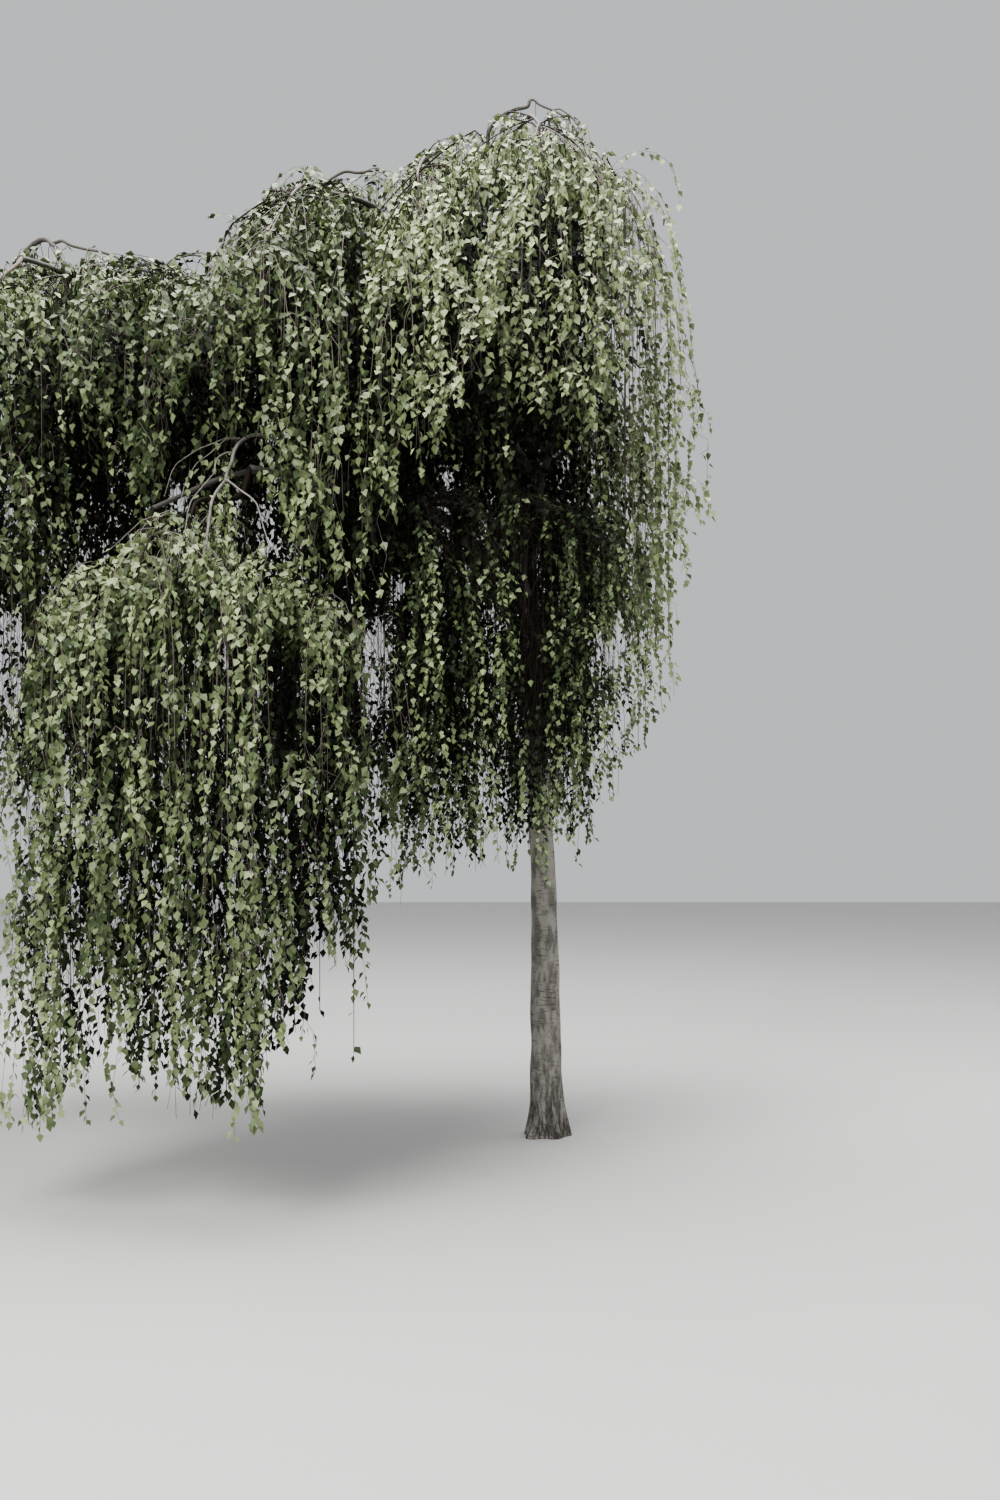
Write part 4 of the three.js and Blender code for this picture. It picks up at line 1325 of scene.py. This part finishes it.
def shade_of(found, name):
    """How much painted shade each leaf gets, from about 0 on the crown's surface to about 1 inside it:
    by how far inside its twig hangs and by the mass's habit, with soft curtains of painted shade and
    luck by spray. On the low masses the right side gets more painted shade, and so does the top of
    those behind."""
    mass = MASSES[name]
    if mass.mound == "low_shelf":
        top = mound_top(MOUNDS[mass.mound], found[:, 0], found[:, 1]) - habit(name).lower
    else:
        top = crown_top(found[:, 0], found[:, 1])
    depth = top - found[:, 2]
    inside = found[:, 5] * smooth((depth - 0.1) / 0.5) + habit(name).shaded
    inside = inside + habit(name).top_shade * (1 - smooth((depth - 0.1) / 0.8))
    if mass.mound == "low_shelf":
        inside = inside + 0.3 * smooth((found[:, 0] + 1.3) / 0.5)
    if name in ("left_front", "far_left_front"):
        inside = inside - 0.25 * found[:, 5]
    if mass.mound == "shelf":
        below = mound_top(MOUNDS["shelf"], found[:, 0], found[:, 1]) - found[:, 2]
        inside = inside + 0.5 * (1 - smooth(below / 0.5))
    curtain = waves(found[:, :3] * [1, 1, 0.15], CURTAIN_WAVES, 9)
    spray = np.floor(found[:, 4] / SPRAY)
    return inside + CURTAIN_SHADE * curtain + SPRAY_LUCK * (chance(found[:, 3], spray, 51) - 0.5)


def leaf_mesh(chosen, outline, faces, found, number, leaves, share):
    """Places and faces of the leaves at the chosen ones of the found places. A leaf turns away from
    the crown's axis with luck, droops from its twig, more from a level one, and rolls."""
    i = np.flatnonzero(chosen)
    at = found[i]
    out = crown_axis_way(at)
    turn = np.arctan2(out[:, 1], out[:, 0]) + LEAF_TURN * (chance(number, i, 61) - 0.5)
    droop = some(LEAF_DROOP, chance(number, i, 62)) + LEVEL_DROOP * np.clip(at[:, 6], 0, 1)
    level = np.column_stack([np.cos(turn), np.sin(turn), np.zeros(len(i))])
    ways = level * np.sin(droop)[:, None] - UP * np.cos(droop)[:, None]
    facings = level * np.cos(droop)[:, None] + UP * np.sin(droop)[:, None]
    roll = LEAF_ROLL * (chance(number, i, 63) - 0.5)[:, None]
    facings = facings * np.cos(roll) + np.cross(ways, facings) * np.sin(roll)
    size = share * some(LEAF_SIZE, chance(number, i, 64))
    places = blades(
        outline, at[:, :3], ways, facings, leaves.length * size, leaves.width * size, leaves.fold,
    )
    first = len(outline) * np.arange(len(i))
    return places.reshape(-1, 3), (faces[None] + first[:, None, None]).reshape(-1, 3)


def build_leaves(bark, twigs, leaves, materials):
    """The leaves of each mass as one piece: the lit ones with six corners and a stalk, the others
    with four corners, in five tints from painted sunlight to painted shade by how shaded each hangs."""
    for number, (name, grown) in enumerate(grow_crown(bark, twigs).items(), 1):
        found = leaf_places(MASSES[name], grown, leaves.spacing)
        shade = shade_of(found, name)
        # Painted light and shade: how shaded each leaf hangs picks its tint.
        tints = np.clip(np.round(FIRST_TINT + TINTS_TO_SHADE * shade), 0, 4)
        full = shade < FULL_UNDER
        share = SMALLER.get(MASSES[name].mound, 1)
        places, faces = leaf_mesh(full, BLADE, BLADE_FACES, found, number, leaves, share)
        plain = leaf_mesh(~full, PLAIN_BLADE, PLAIN_FACES, found, number, leaves, share)
        face_tints = np.concatenate([
            np.repeat(tints[full], len(BLADE_FACES)), np.repeat(tints[~full], len(PLAIN_FACES)),
        ])
        piece = new_piece(
            f"leaves_{name}", np.concatenate([places, plain[0]]),
            [np.concatenate([faces, plain[1] + len(places)])], materials, face_tints,
        )
        finished(piece, "leaves", f"foliage_{name}")


# Materials

class Wire:
    """A number's socket that Python's signs work on: each sign adds a Math node."""

    def __init__(self, graph, socket):
        self.graph = graph
        self.socket = socket

    def maths(self, operation, *values):
        return self.graph.node("ShaderNodeMath", {"operation": operation}, values)

    def __add__(self, other):
        return self.maths("ADD", self, other)

    def __sub__(self, other):
        return self.maths("SUBTRACT", self, other)

    def __rsub__(self, other):
        return self.maths("SUBTRACT", other, self)

    def __mul__(self, other):
        return self.maths("MULTIPLY", self, other)

    __radd__ = __add__
    __rmul__ = __mul__


class Graph:
    """The nodes of one material."""

    def __init__(self, name):
        self.material = bpy.data.materials.new(name)
        self.material.use_nodes = True
        self.tree = self.material.node_tree
        self.shader = self.tree.nodes["Principled BSDF"]

    def node(self, kind, settings=None, inputs=(), output=0):
        """Adds a node: its settings first, then the values or links of its sockets, which are
        given in order or by name. Returns one of its outputs."""
        made = self.tree.nodes.new(kind)
        for key, value in (settings or {}).items():
            setattr(made, key, value)
        pairs = inputs.items() if isinstance(inputs, dict) else enumerate(inputs)
        for key, value in pairs:
            self.feed(made.inputs[key], value)
        return Wire(self, made.outputs[output])

    def feed(self, socket, value):
        if isinstance(value, Wire):
            self.tree.links.new(value.socket, socket)
        else:
            socket.default_value = value

    def surface(self, **values):
        """Sets or links sockets of the shader, named with underscores for spaces, and returns the
        finished material."""
        for key, value in values.items():
            self.feed(self.shader.inputs[key.replace("_", " ")], value)
        return self.material

    def noise(self, place, scale, detail, roughness=0.5):
        inputs = {"Vector": place, "Scale": scale, "Detail": detail, "Roughness": roughness}
        return self.node("ShaderNodeTexNoise", {}, inputs)

    def stretched(self, place, x, y, z):
        return self.node("ShaderNodeVectorMath", {"operation": "MULTIPLY"}, [place, (x, y, z)])

    def ramp(self, value, low, high):
        """0 below low, 1 above high, and smooth between them."""
        inputs = {"Value": value, "From Min": low, "From Max": high}
        return self.node("ShaderNodeMapRange", {"interpolation_type": "SMOOTHSTEP"}, inputs)

    def mix(self, factor, one, two):
        """A colour between two others."""
        made = self.tree.nodes.new("ShaderNodeMix")
        made.data_type = "RGBA"
        for index, value in ((0, factor), (6, one), (7, two)):
            self.feed(made.inputs[index], value)
        return Wire(self, made.outputs[2])

    def bump(self, height, distance, strength):
        inputs = {"Height": height, "Distance": distance, "Strength": strength}
        return self.node("ShaderNodeBump", {}, inputs)


def opaque(colour_value):
    return (*colour_value, 1.0)


def bark_material(name, smooth_colour, weathered, dark, plates):
    """Smooth bark with weathered patches and pores that lie across the limb. With plates, the foot
    is dark and rough up to about half a metre, and the part inside the crown is painted nearly
    black as its shade."""
    graph = Graph(name)
    grain = graph.node("ShaderNodeAttribute", {"attribute_name": "grain"}, output="Vector")
    patches = graph.ramp(graph.noise(graph.stretched(grain, 1, 1, 0.35), 26, 5, 0.62), 0.42, 0.62)
    pores = graph.ramp(graph.noise(graph.stretched(grain, 1, 1, 9), 22, 2, 0.4), 0.6, 0.7)
    fine = graph.noise(graph.stretched(grain, 1, 1, 0.4), 420, 3, 0.6)
    base = graph.mix(patches, opaque(smooth_colour), opaque(weathered))
    base = graph.mix(pores * 0.75, base, opaque(dark))
    base = graph.mix(graph.ramp(fine, 0.35, 0.9) * 0.45, base, opaque(dark))
    height = fine * 0.4 + patches * 0.35 - pores * 0.6
    if plates:
        parts = graph.node("ShaderNodeSeparateXYZ", {}, [grain], output="Z")
        low = 1 - graph.ramp(parts + 0.5 * graph.noise(grain, 7, 3), 0.25, 1.0)
        furrows = graph.ramp(graph.noise(graph.stretched(grain, 1, 1, 0.22), 60, 4, 0.7), 0.4, 0.62)
        base = graph.mix(low * furrows, base, opaque(dark))
        # Painted shade: inside the crown, above about two metres, the bark goes nearly black.
        black = opaque(tuple(0.12 * c for c in dark))
        base = graph.mix(graph.ramp(parts, 1.75, 2.35) * 0.97, base, black)
        height = height + low * (1 - furrows) * 1.5
    return graph.surface(
        Base_Color=base, Roughness=0.62 + fine * 0.3, Normal=graph.bump(height, 0.004, 0.8),
        Specular_IOR_Level=0.1 if plates else 0.5,
    )


def twig_material(name, bark_colour, dark, shine):
    """Young bark, with lighter and darker lengths and fine warts."""
    graph = Graph(name)
    place = graph.node("ShaderNodeTexCoord", output="Object")
    lengths = graph.ramp(graph.noise(place, 9, 2), 0.35, 0.7)
    warts = graph.noise(place, 260, 1)
    base = graph.mix(lengths * 0.6, opaque(bark_colour), opaque(dark))
    return graph.surface(Base_Color=base, Roughness=0.5 + warts * 0.3, Specular_IOR_Level=shine)


def leaf_materials(leaves):
    """One plain colour for each tint, from painted sunlight to painted shade, the dark ones duller.
    A leaf's folded faces and its turn add the light of the lamps."""
    made = []
    for number in range(1, 6):
        graph = Graph(f"leaf_{number}")
        tint = getattr(leaves, f"tint_{number}")
        shine = 0.35 if number < 4 else 0.08
        made.append(graph.surface(Base_Color=opaque(tint), Roughness=0.48, Specular_IOR_Level=shine))
    return made


def floor_material(name, floor):
    """A plain floor with soft, slightly darker clouds."""
    graph = Graph(name)
    place = graph.node("ShaderNodeTexCoord", output="Object")
    soft = graph.noise(place, 0.6, 3)
    darker = tuple(0.94 * c for c in floor)
    return graph.surface(Base_Color=graph.mix(soft, opaque(floor), opaque(darker)), Roughness=0.9)


# Operators

class BIRCH_OT_trunk(bpy.types.Operator):
    """Grow the trunk, with its root flare and bark"""

    bl_idname = "birch.trunk"
    bl_label = "Trunk"

    def execute(self, context):
        bark = context.scene.birch_bark
        material = bark_material("trunk_bark", bark.pale, bark.grey, bark.dark, plates=True)
        build_trunk(bark, material)
        return {"FINISHED"}


class BIRCH_OT_boughs(bpy.types.Operator):
    """Grow the arching boughs"""

    bl_idname = "birch.boughs"
    bl_label = "Boughs"

    def execute(self, context):
        bark = context.scene.birch_bark
        # The boughs' bark is painted shade, a darkened copy of the pale bark of the low bare boughs.
        material = bark_material("bough_bark", bark.bough, bark.worn_in_shade, bark.dark, plates=False)
        pale = bark_material("pale_bough_bark", bark.lit, bark.bough, bark.dark, plates=False)
        build_boughs(bark, material)
        build_crests(bark, [material, pale])
        return {"FINISHED"}


class BIRCH_OT_twigs(bpy.types.Operator):
    """Grow the stems, arms and hanging twigs of the masses of foliage"""

    bl_idname = "birch.twigs"
    bl_label = "Twigs"

    def execute(self, context):
        scene = context.scene
        bark = scene.birch_bark
        lit = twig_material("twig_bark", bark.twig, bark.dark, 0.5)
        # Painted shade for the twigs that hang in the crown's shade.
        shaded = twig_material("twig_shaded", bark.shaded, bark.shaded, 0.05)
        build_twigs(bark, scene.birch_twigs, [lit, shaded])
        return {"FINISHED"}


class BIRCH_OT_leaves(bpy.types.Operator):
    """Hang the leaves on the twigs"""

    bl_idname = "birch.leaves"
    bl_label = "Leaves"

    def execute(self, context):
        scene = context.scene
        leaves = scene.birch_leaves
        build_leaves(scene.birch_bark, scene.birch_twigs, leaves, leaf_materials(leaves))
        return {"FINISHED"}


def area_light(name, place, target, size, power):
    data = bpy.data.lights.new(name, "AREA")
    data.shape = "DISK"
    data.size = size
    data.energy = power
    light = bpy.data.objects.new(name, data)
    light.location = place
    light.rotation_euler = (Vector(target) - Vector(place)).to_track_quat("-Z", "Y").to_euler()
    bpy.context.collection.objects.link(light)


class BIRCH_OT_stage(bpy.types.Operator):
    """Lay the floor and set the lights and the camera"""

    bl_idname = "birch.stage"
    bl_label = "Stage"

    def execute(self, context):
        stage = context.scene.birch_stage
        self.lay_floor(stage)
        self.set_lights(context.scene, stage)
        self.set_camera(context.scene, stage)
        return {"FINISHED"}

    def lay_floor(self, stage):
        """A square of 60 m at ground level."""
        half = 30.0
        places = np.array([[-half, -half, 0], [half, -half, 0], [half, half, 0], [-half, half, 0]])
        floor = new_piece("floor", places, [np.array([[0, 1, 2, 3]])], [floor_material("floor", stage.floor)])

    def set_lights(self, scene, stage):
        world = bpy.data.worlds.new("studio")
        world.use_nodes = True
        background = world.node_tree.nodes["Background"]
        background.inputs["Color"].default_value = opaque(stage.sky)
        background.inputs["Strength"].default_value = stage.sky_strength
        scene.world = world
        area_light("key", (-4.5, -8.5, 9.5), (-1.4, -0.3, 2.8), 6.0, stage.key_power)
        area_light("top", (-1.0, 0.5, 12.0), (-1.4, 0, 3.0), 9.0, stage.top_power)

    def set_camera(self, scene, stage):
        data = bpy.data.cameras.new("camera")
        data.lens = 35.0
        data.sensor_width = 36.0
        camera = bpy.data.objects.new("camera", data)
        camera.location = (stage.eye_side, -stage.eye_distance, stage.eye_height)
        camera.rotation_euler = (math.pi / 2, 0, 0)
        data.shift_y = stage.eye_shift
        scene.collection.objects.link(camera)
        scene.camera = camera


class BIRCH_PT_panel(bpy.types.Panel):
    """Lists the steps that build the tree, and its sizes and colours"""

    bl_idname = "BIRCH_PT_panel"
    bl_label = "Weeping birch"
    bl_space_type = "VIEW_3D"
    bl_region_type = "UI"
    bl_category = "Birch"

    def draw(self, context):
        for operator in OPERATORS:
            self.layout.operator(operator.bl_idname)
        for name, kind in SETTINGS.items():
            box = self.layout.box()
            for prop in kind.__annotations__:
                box.prop(getattr(context.scene, name), prop)


SETTINGS = {
    "birch_bark": BirchBarkSettings,
    "birch_twigs": BirchTwigSettings,
    "birch_leaves": BirchLeafSettings,
    "birch_stage": BirchStageSettings,
}
OPERATORS = [BIRCH_OT_trunk, BIRCH_OT_boughs, BIRCH_OT_twigs, BIRCH_OT_leaves, BIRCH_OT_stage]


def register():
    for kind in [*SETTINGS.values(), *OPERATORS, BIRCH_PT_panel]:
        bpy.utils.register_class(kind)
    for name, kind in SETTINGS.items():
        setattr(bpy.types.Scene, name, bpy.props.PointerProperty(type=kind))


def unregister():
    for name in SETTINGS:
        delattr(bpy.types.Scene, name)
    for kind in [BIRCH_PT_panel, *reversed(OPERATORS), *SETTINGS.values()]:
        bpy.utils.unregister_class(kind)


def main():
    register()
    bpy.ops.birch.trunk()
    bpy.ops.birch.boughs()
    bpy.ops.birch.twigs()
    bpy.ops.birch.leaves()
    bpy.ops.birch.stage()
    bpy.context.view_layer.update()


if __name__ == "__main__":
    main()
